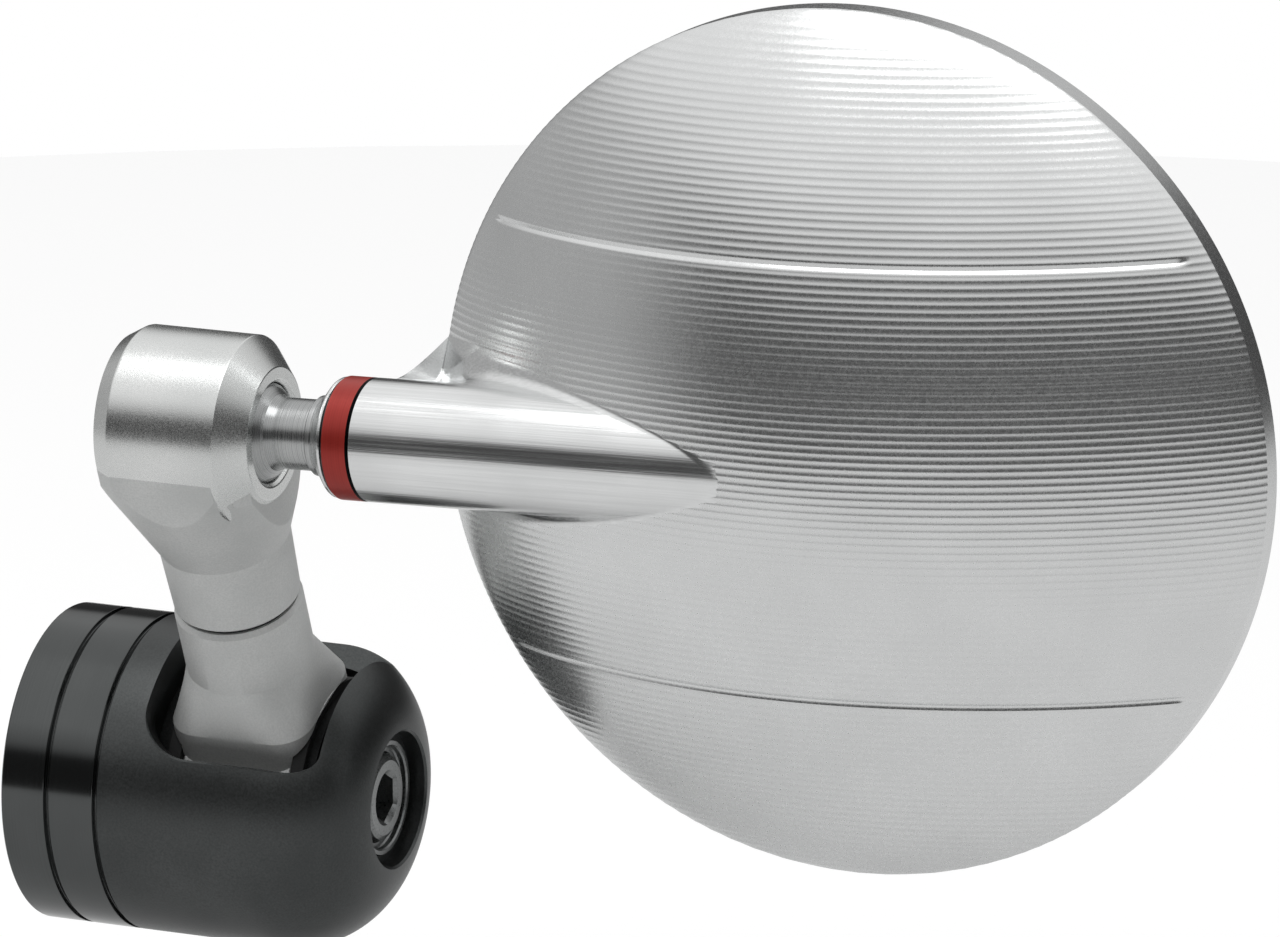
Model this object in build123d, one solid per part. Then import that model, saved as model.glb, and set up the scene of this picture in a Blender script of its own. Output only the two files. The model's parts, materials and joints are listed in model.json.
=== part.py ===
from build123d import *
import os
from math import copysign, cos, sin, sqrt, radians, tan

os.makedirs("parts", exist_ok=True)

# Bar end mirror: a slotted clamp housing on two rings, a two-piece arm that swings
# and swivels, and a round mirror on a ball joint. All sizes are in millimetres.
# The origin is the centre of the end ring's inboard face, which seats on the bar end.
# X runs outboard along the bar, Z is up and the rider looks along -Y at the glass.

# Fits
RUN = 0.05              # radial clearance of a running fit
PLAY = 0.05             # axial play beside a turning face
CLEAR = 0.3             # clearance between curved faces that never touch
SEAT_GAP = 0.03         # clearance between the ball and its seats

# Rings and housing
BAR_R = 18.0            # outside radius of the rings and the housing
EDGE_BREAK = 0.18       # small chamfer on outer edges
JOINT_W = 0.35          # half width of the groove where two rings meet
JOINT_DEPTH = 0.55
END_RING_L = 5.6
MIDDLE_RING_L = 6.0
REGISTER_R = 9.0        # centring spigot between two neighbours
REGISTER_L = 1.5
HOUSING_L = 29.23
HOUSING_WALL = 2.9
HOUSING_FLOOR = 4.6     # inboard end wall
NOSE_ROUND = 12.0       # round between the barrel and the nose
NOSE_WALL = 1.8         # web that carries the bush at the nose
RECESS_R = 7.67
RECESS_DEPTH = 2.23

# Slot for the arm, angles from straight up, positive towards the dome side
SLOT_FRONT = 66.5
SLOT_BACK = 40.0
SLOT_CORNER_IN = 6.0    # corner radius beside the rings
SLOT_CORNER_OUT = 3.3   # corner radius beside the nose
CUT_OVER = 1.0          # how far a cut runs past the face it opens

# Pivot bush and clamp screw (M6 cap screw)
BUSH_R = 6.6
BUSH_STEP = 0.6         # how far the bush stands out of the recess floor
SCREW_R = 3.0
SCREW_HOLE_R = 3.3
SCREW_L = 40.0
THREAD_L = 6.0          # threaded end, all of it past the end ring
SHANK_R = 2.67          # waisted shank between the thread and the head
HEAD_R = 5.0
HEAD_L = 6.0
HEAD_POCKET = 5.9       # pocket depth, so the head stands 0.1 proud
HEAD_EDGE = 0.25
HEX_FLAT = 5.0          # across flats
HEX_DEPTH = 3.0
TIP_CHAMFER = 0.6

# Discs on the pivot
DISC_CLEAR = 0.4        # from the outer discs to the cavity's round
THRUST_IN_L = 1.55
THRUST_IN_STEP = 0.2    # how much smaller than the friction disc
FRICTION_L = 1.5
THRUST_OUT_L = 1.0
SPRING_H = 1.55         # dished spring, pressed
SPRING_W = 3.6          # width of the spring's ring on the bush
SPRING_SHEET = 0.8

# Arm
ARM_LEAN = 22.58        # lean of the arm towards the dome side, degrees
EYE_STEP = 0.6          # how much smaller the eye is than the friction discs
FOOT_SIDE = 1.9         # room beside the foot in the slot
FOOT_CORNER = 4.0
FLAT_LEFT = 0.01        # half of the flat left on each side where the foot is round
FOOT_TOP = 13.0         # along the arm, where the square foot starts to turn round
FOOT_ROUND = 18.6       # along the arm, where the foot is fully round
LOWER_R = 7.26
LOWER_TOP = 26.7
LOWER_CHAMFER = 0.5
SWIVEL_PAD_R = 6.5
SWIVEL_PAD_L = 0.3
SPIGOT_R = 4.5
SPIGOT_L = 10.0
SPIGOT_GROOVE = 0.8
GRUB_R = 2.0
GRUB_L = 2.6
GRUB_S = 22.0           # along the arm
GRUB_HEX = 2.0
GRUB_HEX_DEPTH = 1.3
UPPER_R = 7.1
UPPER_TOP_R = 7.4
UPPER_TOP = 35.5
FLARE_SIDE = 27.0       # slope of the flare under the head, along the bar, degrees
FLARE_FRONT = 19.6      # slope of the flare at its front and back, degrees

# Head with the ball socket, axis parallel to the bar
HEAD_S = 50.4           # head axis, along the arm
HEAD_BACK = 8.44        # from the arm axis to the head's inboard face
HEAD_FRONT = 8.94       # from the arm axis to the head's outboard face
SOCKET_R = 10.54
SOCKET_IN_FACE_R = 9.41
SOCKET_IN_CHAMFER = 2.01
SOCKET_OUT_FACE_R = 7.3
SOCKET_OUT_CHAMFER = 2.83
CONE_STEP = 0.44        # the flare ends this far below the outboard face
MOUTH_R = 5.56
MOUTH_CHAMFER = 0.4
MOUTH_LIP = 0.64
SOCKET_BORE_R = 8.0
LIP_L = 2.04
LIP_RELIEF_R = 6.9

# Ball stud
BALL_OUT = 4.0          # from the arm axis to the ball's centre
BALL_R = 7.0
NECK_R = 3.9
NECK_END = 11.6         # along the stud from the ball centre
NECK_FLARE = 1.2        # length of the flare from the ball into the neck
NECK_FLARE_R = 4.2
STUD_R = 3.0
STUD_END = 30.0
FRONT_SEAT_L = 1.7
REAR_SEAT_L = 6.4
REAR_SEAT_LAND = 1.3
REAR_SEAT_HOLE_R = 2.6
DISC_SPRING_L = 0.7
DISC_SPRING_SHEET = 0.45
DISC_SPRING_HOLE_R = 4.0
PLUG_L = 2.8
PLUG_HEX = 8.0
PLUG_HEX_DEPTH = 1.8

# Sleeve end, along the stud from the ball centre
SEAL_R = 4.4
SEAL_L = 0.9
CAP_L = 2.0
CAP_SMALL_R = 4.6
CAP_RIM = 0.35          # width of the cap's flat rim
RED_L = 3.4
SLEEVE_R = 6.75
RED_EDGE = 0.15

# Mirror disc, in its own frame: height is measured from the rim's front edge
TILT_YAW = -1.89
TILT_PITCH = -2.05
DISC_R = 47.6
DISC_X = 67.4           # disc centre along the stud from the ball centre
DISC_DEPTH = 12.0       # from the stud axis back to the rim's front edge
RIM_L = 3.14
DOME_COVER = 0.45       # metal over the sleeve at the disc's centre
DOME_FLAT = 1.84        # larger is flatter in the middle
DOME_EDGE = 0.83        # smaller is rounder at the rim
SHELL_WALL = 3.1
LEDGE_W = 3.2
RIM_WALL = 1.9
GLASS_L = 2.0
PAD_L = 0.8
PAD_INSET = 1.2
GLASS_SINK = 0.14
GLASS_BEVEL = 0.35
SLEEVE_SHORT = 0.08     # how far short of the disc's centre the sleeve ends, as a share of its radius
BLEND_R = 2.0           # fillet where the sleeve runs into the dome
STUD_HOLE_EXTRA = 2.0
GROOVE_UP = 23.1
GROOVE_DOWN = 24.2
GROOVE_W = 1.65
GROOVE_DEPTH = 0.5
GROOVE_END_R = 44.0     # radius on the disc where each groove runs out

# Places along the bar
MIDDLE_X = END_RING_L
HOUSING_X = MIDDLE_X + MIDDLE_RING_L
FLOOR_X = HOUSING_X + HOUSING_FLOOR
NOSE_X = HOUSING_X + HOUSING_L
RECESS_X = NOSE_X - RECESS_DEPTH
CAVITY_X = RECESS_X - NOSE_WALL
BUSH_X = RECESS_X + BUSH_STEP
SCREW_SEAT_X = BUSH_X - HEAD_POCKET
NOSE_C_R = BAR_R - NOSE_ROUND
NOSE_C_X = NOSE_X - sqrt(NOSE_ROUND ** 2 - (RECESS_R - NOSE_C_R) ** 2)
CAVITY_R = BAR_R - HOUSING_WALL
CAVITY_ROUND = NOSE_ROUND - HOUSING_WALL


def cavity_r(x):
    """Radius of the housing's cavity at x, which shrinks along the nose round."""
    return NOSE_C_R + sqrt(CAVITY_ROUND ** 2 - max(x - NOSE_C_X, 0) ** 2)


CAVITY_END_R = cavity_r(CAVITY_X)

# The pivot's discs fill the cavity, and the arm's eye takes what they leave
EYE_IN = FLOOR_X + THRUST_IN_L + FRICTION_L + PLAY
SPRING_X = CAVITY_X - SPRING_H
THRUST_OUT_X = SPRING_X - THRUST_OUT_L
EYE_OUT = THRUST_OUT_X - FRICTION_L - PLAY
FRICTION_R = cavity_r(THRUST_OUT_X) - DISC_CLEAR
THRUST_OUT_R = cavity_r(SPRING_X) - DISC_CLEAR
SPRING_R = BUSH_R + RUN + SPRING_W
EYE_R = FRICTION_R - EYE_STEP
ARM_X = (EYE_IN + EYE_OUT) / 2
FOOT_W = CAVITY_X - FLOOR_X - 2 * FOOT_SIDE
SOCKET_IN = ARM_X - HEAD_BACK
SOCKET_OUT = ARM_X + HEAD_FRONT
BALL_X = ARM_X + BALL_OUT

DOME_H = DISC_DEPTH + SLEEVE_R + DOME_COVER

# Frames
ARM_DIR = Vector(0, -sin(radians(ARM_LEAN)), cos(radians(ARM_LEAN)))
arm_frame = Plane(origin=(ARM_X, 0, 0), x_dir=(1, 0, 0), z_dir=ARM_DIR)
HEAD_Y = HEAD_S * ARM_DIR.Y
HEAD_Z = HEAD_S * ARM_DIR.Z
head_frame = Pos(0, HEAD_Y, HEAD_Z)
stud_dir = Vector(1, 0, 0).rotate(Axis.Y, TILT_PITCH).rotate(Axis.Z, TILT_YAW)
mirror_up = Vector(0, 0, 1).rotate(Axis.Y, TILT_PITCH).rotate(Axis.Z, TILT_YAW)
stud_frame = Plane(origin=(BALL_X, HEAD_Y, HEAD_Z), x_dir=stud_dir, z_dir=mirror_up)
disc_frame = stud_frame.location * Plane(
    origin=(DISC_X, DISC_DEPTH, 0), x_dir=(1, 0, 0), z_dir=(0, -1, 0)
).location


def turned_x(*points):
    """A solid turned about X from points given as (x, radius)."""
    return revolve(make_face(Polyline(*points, close=True)), Axis.X)


def turned_z(*points):
    """A solid turned about Z from points given as (radius, z)."""
    return revolve(Plane.XZ * make_face(Polyline(*points, close=True)), Axis.Z)


def rod_x(radius, start, end):
    """A plain rod along X."""
    return Plane(origin=(start, 0, 0), z_dir=(1, 0, 0)) * extrude(Circle(radius), end - start)


def hex_x(flats, start, end):
    """A hexagonal bar along X, given across its flats."""
    hexagon = RegularPolygon(flats / 2, 6, major_radius=False)
    return Plane(origin=(start, 0, 0), z_dir=(1, 0, 0)) * extrude(hexagon, end - start)


def joint_groove(x):
    """The groove round the outside where two rings meet at x."""
    start = x - JOINT_W
    end = x + JOINT_W
    return rod_x(BAR_R + CUT_OVER, start, end) - rod_x(BAR_R - JOINT_DEPTH, start, end)


def register(x):
    """The pocket at x that takes the neighbour's centring spigot."""
    return rod_x(REGISTER_R + RUN, x - REGISTER_L - PLAY, x)


def spigot(x, bore):
    """The centring spigot that stands inboard of x."""
    return rod_x(REGISTER_R, x - REGISTER_L, x) - rod_x(bore, x - REGISTER_L, x)


def make_end_ring():
    """Inboard ring, whose face seats on the bar end."""
    body = turned_x(
        (0, SCREW_HOLE_R),
        (0, BAR_R - EDGE_BREAK),
        (EDGE_BREAK, BAR_R),
        (MIDDLE_X, BAR_R),
        (MIDDLE_X, SCREW_HOLE_R),
    )
    return body - joint_groove(MIDDLE_X) - register(MIDDLE_X)


def make_middle_ring():
    """Second ring, centred on both neighbours."""
    body = rod_x(BAR_R, MIDDLE_X, HOUSING_X) - rod_x(SCREW_HOLE_R, MIDDLE_X, HOUSING_X)
    body -= joint_groove(MIDDLE_X)
    body -= joint_groove(HOUSING_X)
    return body + spigot(MIDDLE_X, SCREW_HOLE_R) - register(HOUSING_X)


def slot_corner(x, radius, ray, inward):
    """What rounds one corner of the slot: a square rod along a ray, less a round one.

    The radius is signed: positive where the slot runs outboard from x.
    """
    cut = radius * (1 - sqrt(0.5))
    side = abs(radius) * inward
    outline = Polyline((0, side), (0, 0), (radius, 0)) + ThreePointArc(
        (radius, 0), (cut, cut * inward * copysign(1, radius)), (0, side)
    )
    place = Plane(origin=(x, 0, 0), x_dir=(1, 0, 0), z_dir=ray)
    return place * extrude(make_face(outline), 2 * BAR_R)


def slot_cutter():
    """The sector cut out of the housing wall for the arm, with its corners rounded."""
    reach = 2 * BAR_R
    front = radians(SLOT_FRONT)
    back = radians(SLOT_BACK)
    outline = Polyline(
        (0, 0),
        (-reach * sin(front), reach * cos(front)),
        (0, reach),
        (reach * sin(back), reach * cos(back)),
        close=True,
    )
    side = Plane(origin=(FLOOR_X, 0, 0), x_dir=(0, 1, 0), z_dir=(1, 0, 0))
    cutter = side * extrude(make_face(outline), CAVITY_X - FLOOR_X)
    for ray, inward in (((0, -sin(front), cos(front)), 1), ((0, sin(back), cos(back)), -1)):
        cutter -= slot_corner(FLOOR_X, SLOT_CORNER_IN, ray, inward)
        cutter -= slot_corner(CAVITY_X, -SLOT_CORNER_OUT, ray, inward)
    return cutter


def make_housing():
    """Slotted housing: a floor, a thin wall, a rounded nose and the slot."""
    middle_x = (NOSE_C_X + NOSE_X) / 2
    nose = ThreePointArc(
        (NOSE_C_X, BAR_R),
        (middle_x, NOSE_C_R + sqrt(NOSE_ROUND ** 2 - (middle_x - NOSE_C_X) ** 2)),
        (NOSE_X, RECESS_R),
    )
    barrel = Polyline(
        (NOSE_X, RECESS_R),
        (NOSE_X, 0),
        (HOUSING_X, 0),
        (HOUSING_X, BAR_R),
        (NOSE_C_X, BAR_R),
    )
    outline = nose + barrel
    body = revolve(make_face(outline), Axis.X)
    inner_x = (NOSE_C_X + CAVITY_X) / 2
    inner = ThreePointArc((NOSE_C_X, CAVITY_R), (inner_x, cavity_r(inner_x)), (CAVITY_X, CAVITY_END_R))
    cavity_line = inner + Polyline(
        (CAVITY_X, CAVITY_END_R),
        (CAVITY_X, 0),
        (FLOOR_X, 0),
        (FLOOR_X, CAVITY_R),
        (NOSE_C_X, CAVITY_R),
    )
    body -= revolve(make_face(cavity_line), Axis.X)
    body -= slot_cutter()
    body -= rod_x(RECESS_R, RECESS_X, NOSE_X + CUT_OVER)
    body -= joint_groove(HOUSING_X)
    body += spigot(HOUSING_X, BUSH_R)
    return body - rod_x(BUSH_R, HOUSING_X - REGISTER_L, NOSE_X)


def make_pivot_bush():
    """Bush that the arm's eye turns on; the screw head sits in its pocket."""
    return turned_x(
        (HOUSING_X - REGISTER_L, SCREW_HOLE_R),
        (HOUSING_X - REGISTER_L, BUSH_R),
        (BUSH_X - EDGE_BREAK, BUSH_R),
        (BUSH_X, BUSH_R - EDGE_BREAK),
        (BUSH_X, HEAD_R + RUN),
        (SCREW_SEAT_X, HEAD_R + RUN),
        (SCREW_SEAT_X, SCREW_HOLE_R),
    )


def make_clamp_screw():
    """Cap screw through the whole clamp; its free end takes the bar's insert."""
    head_x = SCREW_SEAT_X + HEAD_L
    tip_x = SCREW_SEAT_X - SCREW_L
    body = turned_x(
        (tip_x, 0),
        (tip_x, SCREW_R - TIP_CHAMFER),
        (tip_x + TIP_CHAMFER, SCREW_R),
        (tip_x + THREAD_L, SCREW_R),
        (tip_x + THREAD_L, SHANK_R),
        (SCREW_SEAT_X, SHANK_R),
        (SCREW_SEAT_X, HEAD_R),
        (head_x - HEAD_EDGE, HEAD_R),
        (head_x, HEAD_R - HEAD_EDGE),
        (head_x, 0),
    )
    return body - hex_x(HEX_FLAT, head_x - HEX_DEPTH, head_x + CUT_OVER)


def washer(start, length, radius):
    """A flat disc on the pivot bush."""
    return rod_x(radius, start, start + length) - rod_x(BUSH_R + RUN, start, start + length)


def make_thrust_in():
    return washer(FLOOR_X, THRUST_IN_L, FRICTION_R - THRUST_IN_STEP)


def make_friction_in():
    return washer(FLOOR_X + THRUST_IN_L, FRICTION_L, FRICTION_R)


def make_friction_out():
    return washer(THRUST_OUT_X - FRICTION_L, FRICTION_L, FRICTION_R)


def make_thrust_out():
    return washer(THRUST_OUT_X, THRUST_OUT_L, THRUST_OUT_R)


def make_pivot_spring():
    """Dished spring between the outer thrust disc and the nose wall."""
    return turned_x(
        (SPRING_X, SPRING_R),
        (SPRING_X + SPRING_SHEET, SPRING_R),
        (CAVITY_X, BUSH_R + RUN),
        (CAVITY_X - SPRING_SHEET, BUSH_R + RUN),
    )


def make_arm_foot():
    """Lower arm: eye on the bush, square foot in the slot, round socket above."""
    square = RectangleRounded(FOOT_W, FOOT_W, FOOT_CORNER)
    nearly_round = RectangleRounded(2 * LOWER_R, 2 * LOWER_R, LOWER_R - FLAT_LEFT)
    foot = extrude(square, FOOT_TOP)
    foot += loft([Pos(0, 0, FOOT_TOP) * square, Pos(0, 0, FOOT_ROUND) * nearly_round])
    foot += turned_z(
        (0, FOOT_ROUND - LOWER_CHAMFER),
        (LOWER_R - LOWER_CHAMFER, FOOT_ROUND - LOWER_CHAMFER),
        (LOWER_R, FOOT_ROUND),
        (LOWER_R, LOWER_TOP - LOWER_CHAMFER),
        (LOWER_R - LOWER_CHAMFER, LOWER_TOP),
        (0, LOWER_TOP),
    )
    foot -= Pos(0, 0, LOWER_TOP - SPIGOT_L) * Cylinder(
        SPIGOT_R + RUN, 2 * SPIGOT_L, align=(Align.CENTER, Align.CENTER, Align.MIN)
    )
    foot = arm_frame * foot
    for side in (rod_x(FRICTION_R + CLEAR, 0, EYE_IN), rod_x(FRICTION_R + CLEAR, EYE_OUT, 2 * ARM_X)):
        foot -= side
    foot += rod_x(EYE_R, EYE_IN, EYE_OUT)
    foot -= rod_x(BUSH_R + RUN, 0, 2 * ARM_X)
    return foot - grub_place(Cylinder(GRUB_R, 3 * GRUB_L, align=(Align.CENTER, Align.CENTER, Align.MIN)))


def grub_place(shape):
    """Puts a shape built along Z at the spigot's groove, pointing away from the dome side."""
    start = SPIGOT_R - SPIGOT_GROOVE + RUN
    return arm_frame * (Pos(0, start, GRUB_S) * (Rot(-90, 0, 0) * shape))


def make_swivel_grub():
    """Grub screw that holds the swivel, in the lower arm's hidden side."""
    body = turned_z((0, 0), (GRUB_R - TIP_CHAMFER, 0), (GRUB_R, TIP_CHAMFER), (GRUB_R, GRUB_L), (0, GRUB_L))
    key = RegularPolygon(GRUB_HEX / 2, 6, major_radius=False)
    body -= Pos(0, 0, GRUB_L - GRUB_HEX_DEPTH) * extrude(key, GRUB_HEX_DEPTH)
    return grub_place(body)


def make_swivel_pad():
    """Thin dark disc between the two arm pieces."""
    body = turned_z(
        (SPIGOT_R + RUN, LOWER_TOP),
        (SWIVEL_PAD_R, LOWER_TOP),
        (SWIVEL_PAD_R, LOWER_TOP + SWIVEL_PAD_L),
        (SPIGOT_R + RUN, LOWER_TOP + SWIVEL_PAD_L),
    )
    return arm_frame * body


def make_arm_head():
    """Upper arm: spigot, barrel, flare and the turned head with the ball's socket."""
    start = LOWER_TOP + SWIVEL_PAD_L + PLAY
    groove_top = GRUB_S + GRUB_R + SPIGOT_GROOVE
    groove_low = GRUB_S - GRUB_R - SPIGOT_GROOVE
    rise = HEAD_S - UPPER_TOP
    wide = UPPER_TOP_R + rise * tan(radians(FLARE_SIDE))
    deep = UPPER_TOP_R + rise * tan(radians(FLARE_FRONT))
    stem = turned_z(
        (0, start - SPIGOT_L + 2 * PLAY),
        (SPIGOT_R, start - SPIGOT_L + 2 * PLAY),
        (SPIGOT_R, groove_low),
        (SPIGOT_R - SPIGOT_GROOVE, groove_low + SPIGOT_GROOVE),
        (SPIGOT_R - SPIGOT_GROOVE, groove_top - SPIGOT_GROOVE),
        (SPIGOT_R, groove_top),
        (SPIGOT_R, start),
        (UPPER_R - LOWER_CHAMFER, start),
        (UPPER_R, start + LOWER_CHAMFER),
        (UPPER_TOP_R, UPPER_TOP),
        (0, UPPER_TOP),
    )
    stem += loft([Pos(0, 0, UPPER_TOP) * Circle(UPPER_TOP_R), Pos(0, 0, HEAD_S) * Ellipse(wide, deep)])
    low = -SOCKET_R
    left = SOCKET_IN - ARM_X
    right = SOCKET_OUT - CONE_STEP - ARM_X
    envelope = make_face(
        Polyline(
            (left, SOCKET_IN_FACE_R),
            (left + SOCKET_IN_CHAMFER, SOCKET_R),
            (right - SOCKET_OUT_CHAMFER, SOCKET_R),
            (right, SOCKET_OUT_FACE_R),
            (right, -SOCKET_OUT_FACE_R),
            (right - SOCKET_OUT_CHAMFER, low),
            (left + SOCKET_IN_CHAMFER, low),
            (left, -SOCKET_IN_FACE_R),
            close=True,
        )
    )
    stem = arm_frame * (stem & extrude(envelope, HEAD_S))
    head = head_frame * turned_x(
        (SOCKET_IN, 0),
        (SOCKET_IN, SOCKET_IN_FACE_R),
        (SOCKET_IN + SOCKET_IN_CHAMFER, SOCKET_R),
        (SOCKET_OUT - SOCKET_OUT_CHAMFER, SOCKET_R),
        (SOCKET_OUT, SOCKET_OUT_FACE_R),
        (SOCKET_OUT, 0),
    )
    lip = SOCKET_OUT - LIP_L
    bore = head_frame * turned_x(
        (SOCKET_IN - CUT_OVER, 0),
        (SOCKET_IN - CUT_OVER, SOCKET_BORE_R),
        (lip, SOCKET_BORE_R),
        (lip, LIP_RELIEF_R),
        (SOCKET_OUT - MOUTH_LIP, MOUTH_R),
        (SOCKET_OUT - MOUTH_CHAMFER, MOUTH_R),
        (SOCKET_OUT, MOUTH_R + MOUTH_CHAMFER),
        (SOCKET_OUT + CUT_OVER, MOUTH_R + MOUTH_CHAMFER),
        (SOCKET_OUT + CUT_OVER, 0),
    )
    return stem + head - bore


def seat_r(x):
    """Radius of a seat's hollow at x along the bar."""
    return sqrt((BALL_R + SEAT_GAP) ** 2 - (x - BALL_X) ** 2)


def make_front_seat():
    """Ring between the ball and the socket's lip."""
    end = SOCKET_OUT - LIP_L - PLAY
    start = end - FRONT_SEAT_L
    outline = ThreePointArc(*[(x, seat_r(x)) for x in (start, (start + end) / 2, end)]) + Polyline(
        (end, seat_r(end)),
        (end, SOCKET_BORE_R - RUN),
        (start, SOCKET_BORE_R - RUN),
        (start, seat_r(start)),
    )
    return head_frame * revolve(make_face(outline), Axis.X)


def make_rear_seat():
    """Cup that presses the ball outboard, with a hole in its floor."""
    end = BALL_X - REAR_SEAT_LAND
    start = end - REAR_SEAT_L
    floor = BALL_X - sqrt((BALL_R + SEAT_GAP) ** 2 - REAR_SEAT_HOLE_R ** 2)
    outline = ThreePointArc(*[(x, seat_r(x)) for x in (floor, (floor + end) / 2, end)]) + Polyline(
        (end, seat_r(end)),
        (end, SOCKET_BORE_R - RUN),
        (start, SOCKET_BORE_R - RUN),
        (start, REAR_SEAT_HOLE_R),
        (floor, REAR_SEAT_HOLE_R),
    )
    return head_frame * revolve(make_face(outline), Axis.X)


def disc_spring(x, direction):
    """One dished spring whose rim starts at x."""
    rise = direction * (DISC_SPRING_L - DISC_SPRING_SHEET)
    return head_frame * turned_x(
        (x, SOCKET_BORE_R - CLEAR),
        (x + DISC_SPRING_SHEET, SOCKET_BORE_R - CLEAR),
        (x + DISC_SPRING_SHEET + rise, DISC_SPRING_HOLE_R),
        (x + rise, DISC_SPRING_HOLE_R),
    )


PACK_END = BALL_X - REAR_SEAT_LAND - REAR_SEAT_L - PLAY


def make_disc_spring_a():
    return disc_spring(PACK_END - DISC_SPRING_SHEET, -1)


def make_disc_spring_b():
    return disc_spring(PACK_END - 2 * DISC_SPRING_L, 1)


def make_tension_plug():
    """Threaded plug that sets the ball's friction, in the inboard face."""
    end = PACK_END - 2 * DISC_SPRING_L
    body = rod_x(SOCKET_BORE_R, end - PLUG_L, end)
    body -= hex_x(PLUG_HEX, end - PLUG_L, end - PLUG_L + PLUG_HEX_DEPTH)
    return head_frame * body


def make_ball_stud():
    """Ball, neck and threaded end in one piece."""
    flare = sqrt(BALL_R ** 2 - NECK_FLARE_R ** 2)
    neck = turned_x(
        (0, 0),
        (0, NECK_FLARE_R),
        (flare, NECK_FLARE_R),
        (flare + NECK_FLARE / 2, NECK_R + (NECK_FLARE_R - NECK_R) / 4),
        (flare + NECK_FLARE, NECK_R),
        (NECK_END, NECK_R),
        (NECK_END, STUD_R),
        (STUD_END - TIP_CHAMFER, STUD_R),
        (STUD_END, STUD_R - TIP_CHAMFER),
        (STUD_END, 0),
    )
    return stud_frame * (Sphere(BALL_R) + neck)


def make_neck_seal():
    """Thin ring round the neck in front of the end cap."""
    end = NECK_END - PLAY
    return stud_frame * turned_x(
        (end - SEAL_L, NECK_R + RUN),
        (end - SEAL_L, SEAL_R),
        (end, SEAL_R),
        (end, NECK_R + RUN),
    )


CAP_END = NECK_END + CAP_L
RED_END = CAP_END + RED_L


def make_end_cap():
    """Turned cone that closes the sleeve."""
    return stud_frame * turned_x(
        (NECK_END, STUD_R),
        (NECK_END, CAP_SMALL_R),
        (CAP_END - CAP_RIM, SLEEVE_R - RED_EDGE),
        (CAP_END, SLEEVE_R - RED_EDGE),
        (CAP_END, STUD_R),
    )


def make_accent_ring():
    """Plain coloured ring between the cap and the sleeve."""
    return stud_frame * turned_x(
        (CAP_END, STUD_R),
        (CAP_END, SLEEVE_R - RED_EDGE),
        (CAP_END + RED_EDGE, SLEEVE_R),
        (RED_END - RED_EDGE, SLEEVE_R),
        (RED_END, SLEEVE_R - RED_EDGE),
        (RED_END, STUD_R),
    )


def dome_height(r, radius, height):
    """Height of the dome above its rim at distance r from its centre."""
    share = min(r / radius, 1.0)
    return height * (1 - share ** DOME_FLAT) ** DOME_EDGE


def dome(radius, height, base):
    """Solid dome on a straight wall that goes down to base."""
    steps = 14
    radii = [radius * sin(radians(90) * i / steps) for i in range(steps + 1)]
    crown = Spline(*[(r, dome_height(r, radius, height)) for r in radii])
    rim = Polyline((radius, 0), (radius, base), (0, base), (0, height))
    return revolve(Plane.XZ * make_face(crown + rim), Axis.Z)


def groove(across):
    """Straight engraved line that follows the dome at a set distance from its centre."""
    half = sqrt(GROOVE_END_R ** 2 - across ** 2)
    steps = 10
    places = [half * (2 * i / steps - 1) for i in range(steps + 1)]
    path = Spline(*[(x, across, dome_height(sqrt(x * x + across * across), DISC_R, DOME_H)) for x in places])
    start = path @ 0
    ahead = path % 0
    section_plane = Plane(origin=start, x_dir=(0, 1, 0), z_dir=ahead)
    up = section_plane.y_dir.Z
    lift = GROOVE_DEPTH if up > 0 else -GROOVE_DEPTH
    section = make_face(
        Polyline((-GROOVE_W, lift), (0, -lift), (GROOVE_W, lift), close=True)
    )
    return sweep(section_plane * section, path=path)


def blended(body, sleeve):
    """Dome and sleeve as one, with a fillet along the curve where the round sleeve enters the dome."""
    both = body + sleeve
    entry = [
        edge
        for edge in both.edges()
        if edge.bounding_box().min.Z > DISC_DEPTH - SLEEVE_R - RUN
        and edge.geom_type == GeomType.BSPLINE
        and edge.bounding_box().max.X < 0
    ]
    return fillet(entry, BLEND_R)


def make_mirror_shell():
    """Dome and sleeve cut from one billet, hollow behind the glass."""
    base = -RIM_L
    sleeve_start = RED_END - DISC_X
    sleeve = Pos(0, 0, DISC_DEPTH) * rod_x(SLEEVE_R, sleeve_start, -SLEEVE_SHORT * DISC_R)
    body = blended(dome(DISC_R, DOME_H, base), sleeve)
    body -= groove(GROOVE_UP)
    body -= groove(-GROOVE_DOWN)
    pocket_r = DISC_R - RIM_WALL
    ledge_z = -(RIM_L - GLASS_SINK - GLASS_L - PAD_L)
    body -= Pos(0, 0, base) * Cylinder(
        pocket_r, ledge_z - base, align=(Align.CENTER, Align.CENTER, Align.MIN)
    )
    hollow_r = pocket_r - LEDGE_W
    hollow = Pos(0, 0, ledge_z) * dome(hollow_r, DOME_H - SHELL_WALL - ledge_z, base)
    hollow -= sleeve
    body -= hollow
    bore_end = STUD_END + STUD_HOLE_EXTRA - DISC_X
    body -= Pos(0, 0, DISC_DEPTH) * rod_x(STUD_R, sleeve_start, bore_end)
    return disc_frame * body


def make_glass_pad():
    """Foam pad that bonds the glass to the ledge."""
    top = -(RIM_L - GLASS_SINK - GLASS_L - PAD_L)
    pad_r = DISC_R - RIM_WALL - PAD_INSET
    body = Pos(0, 0, top - PAD_L) * Cylinder(
        pad_r, PAD_L, align=(Align.CENTER, Align.CENTER, Align.MIN)
    )
    return disc_frame * body


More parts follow.
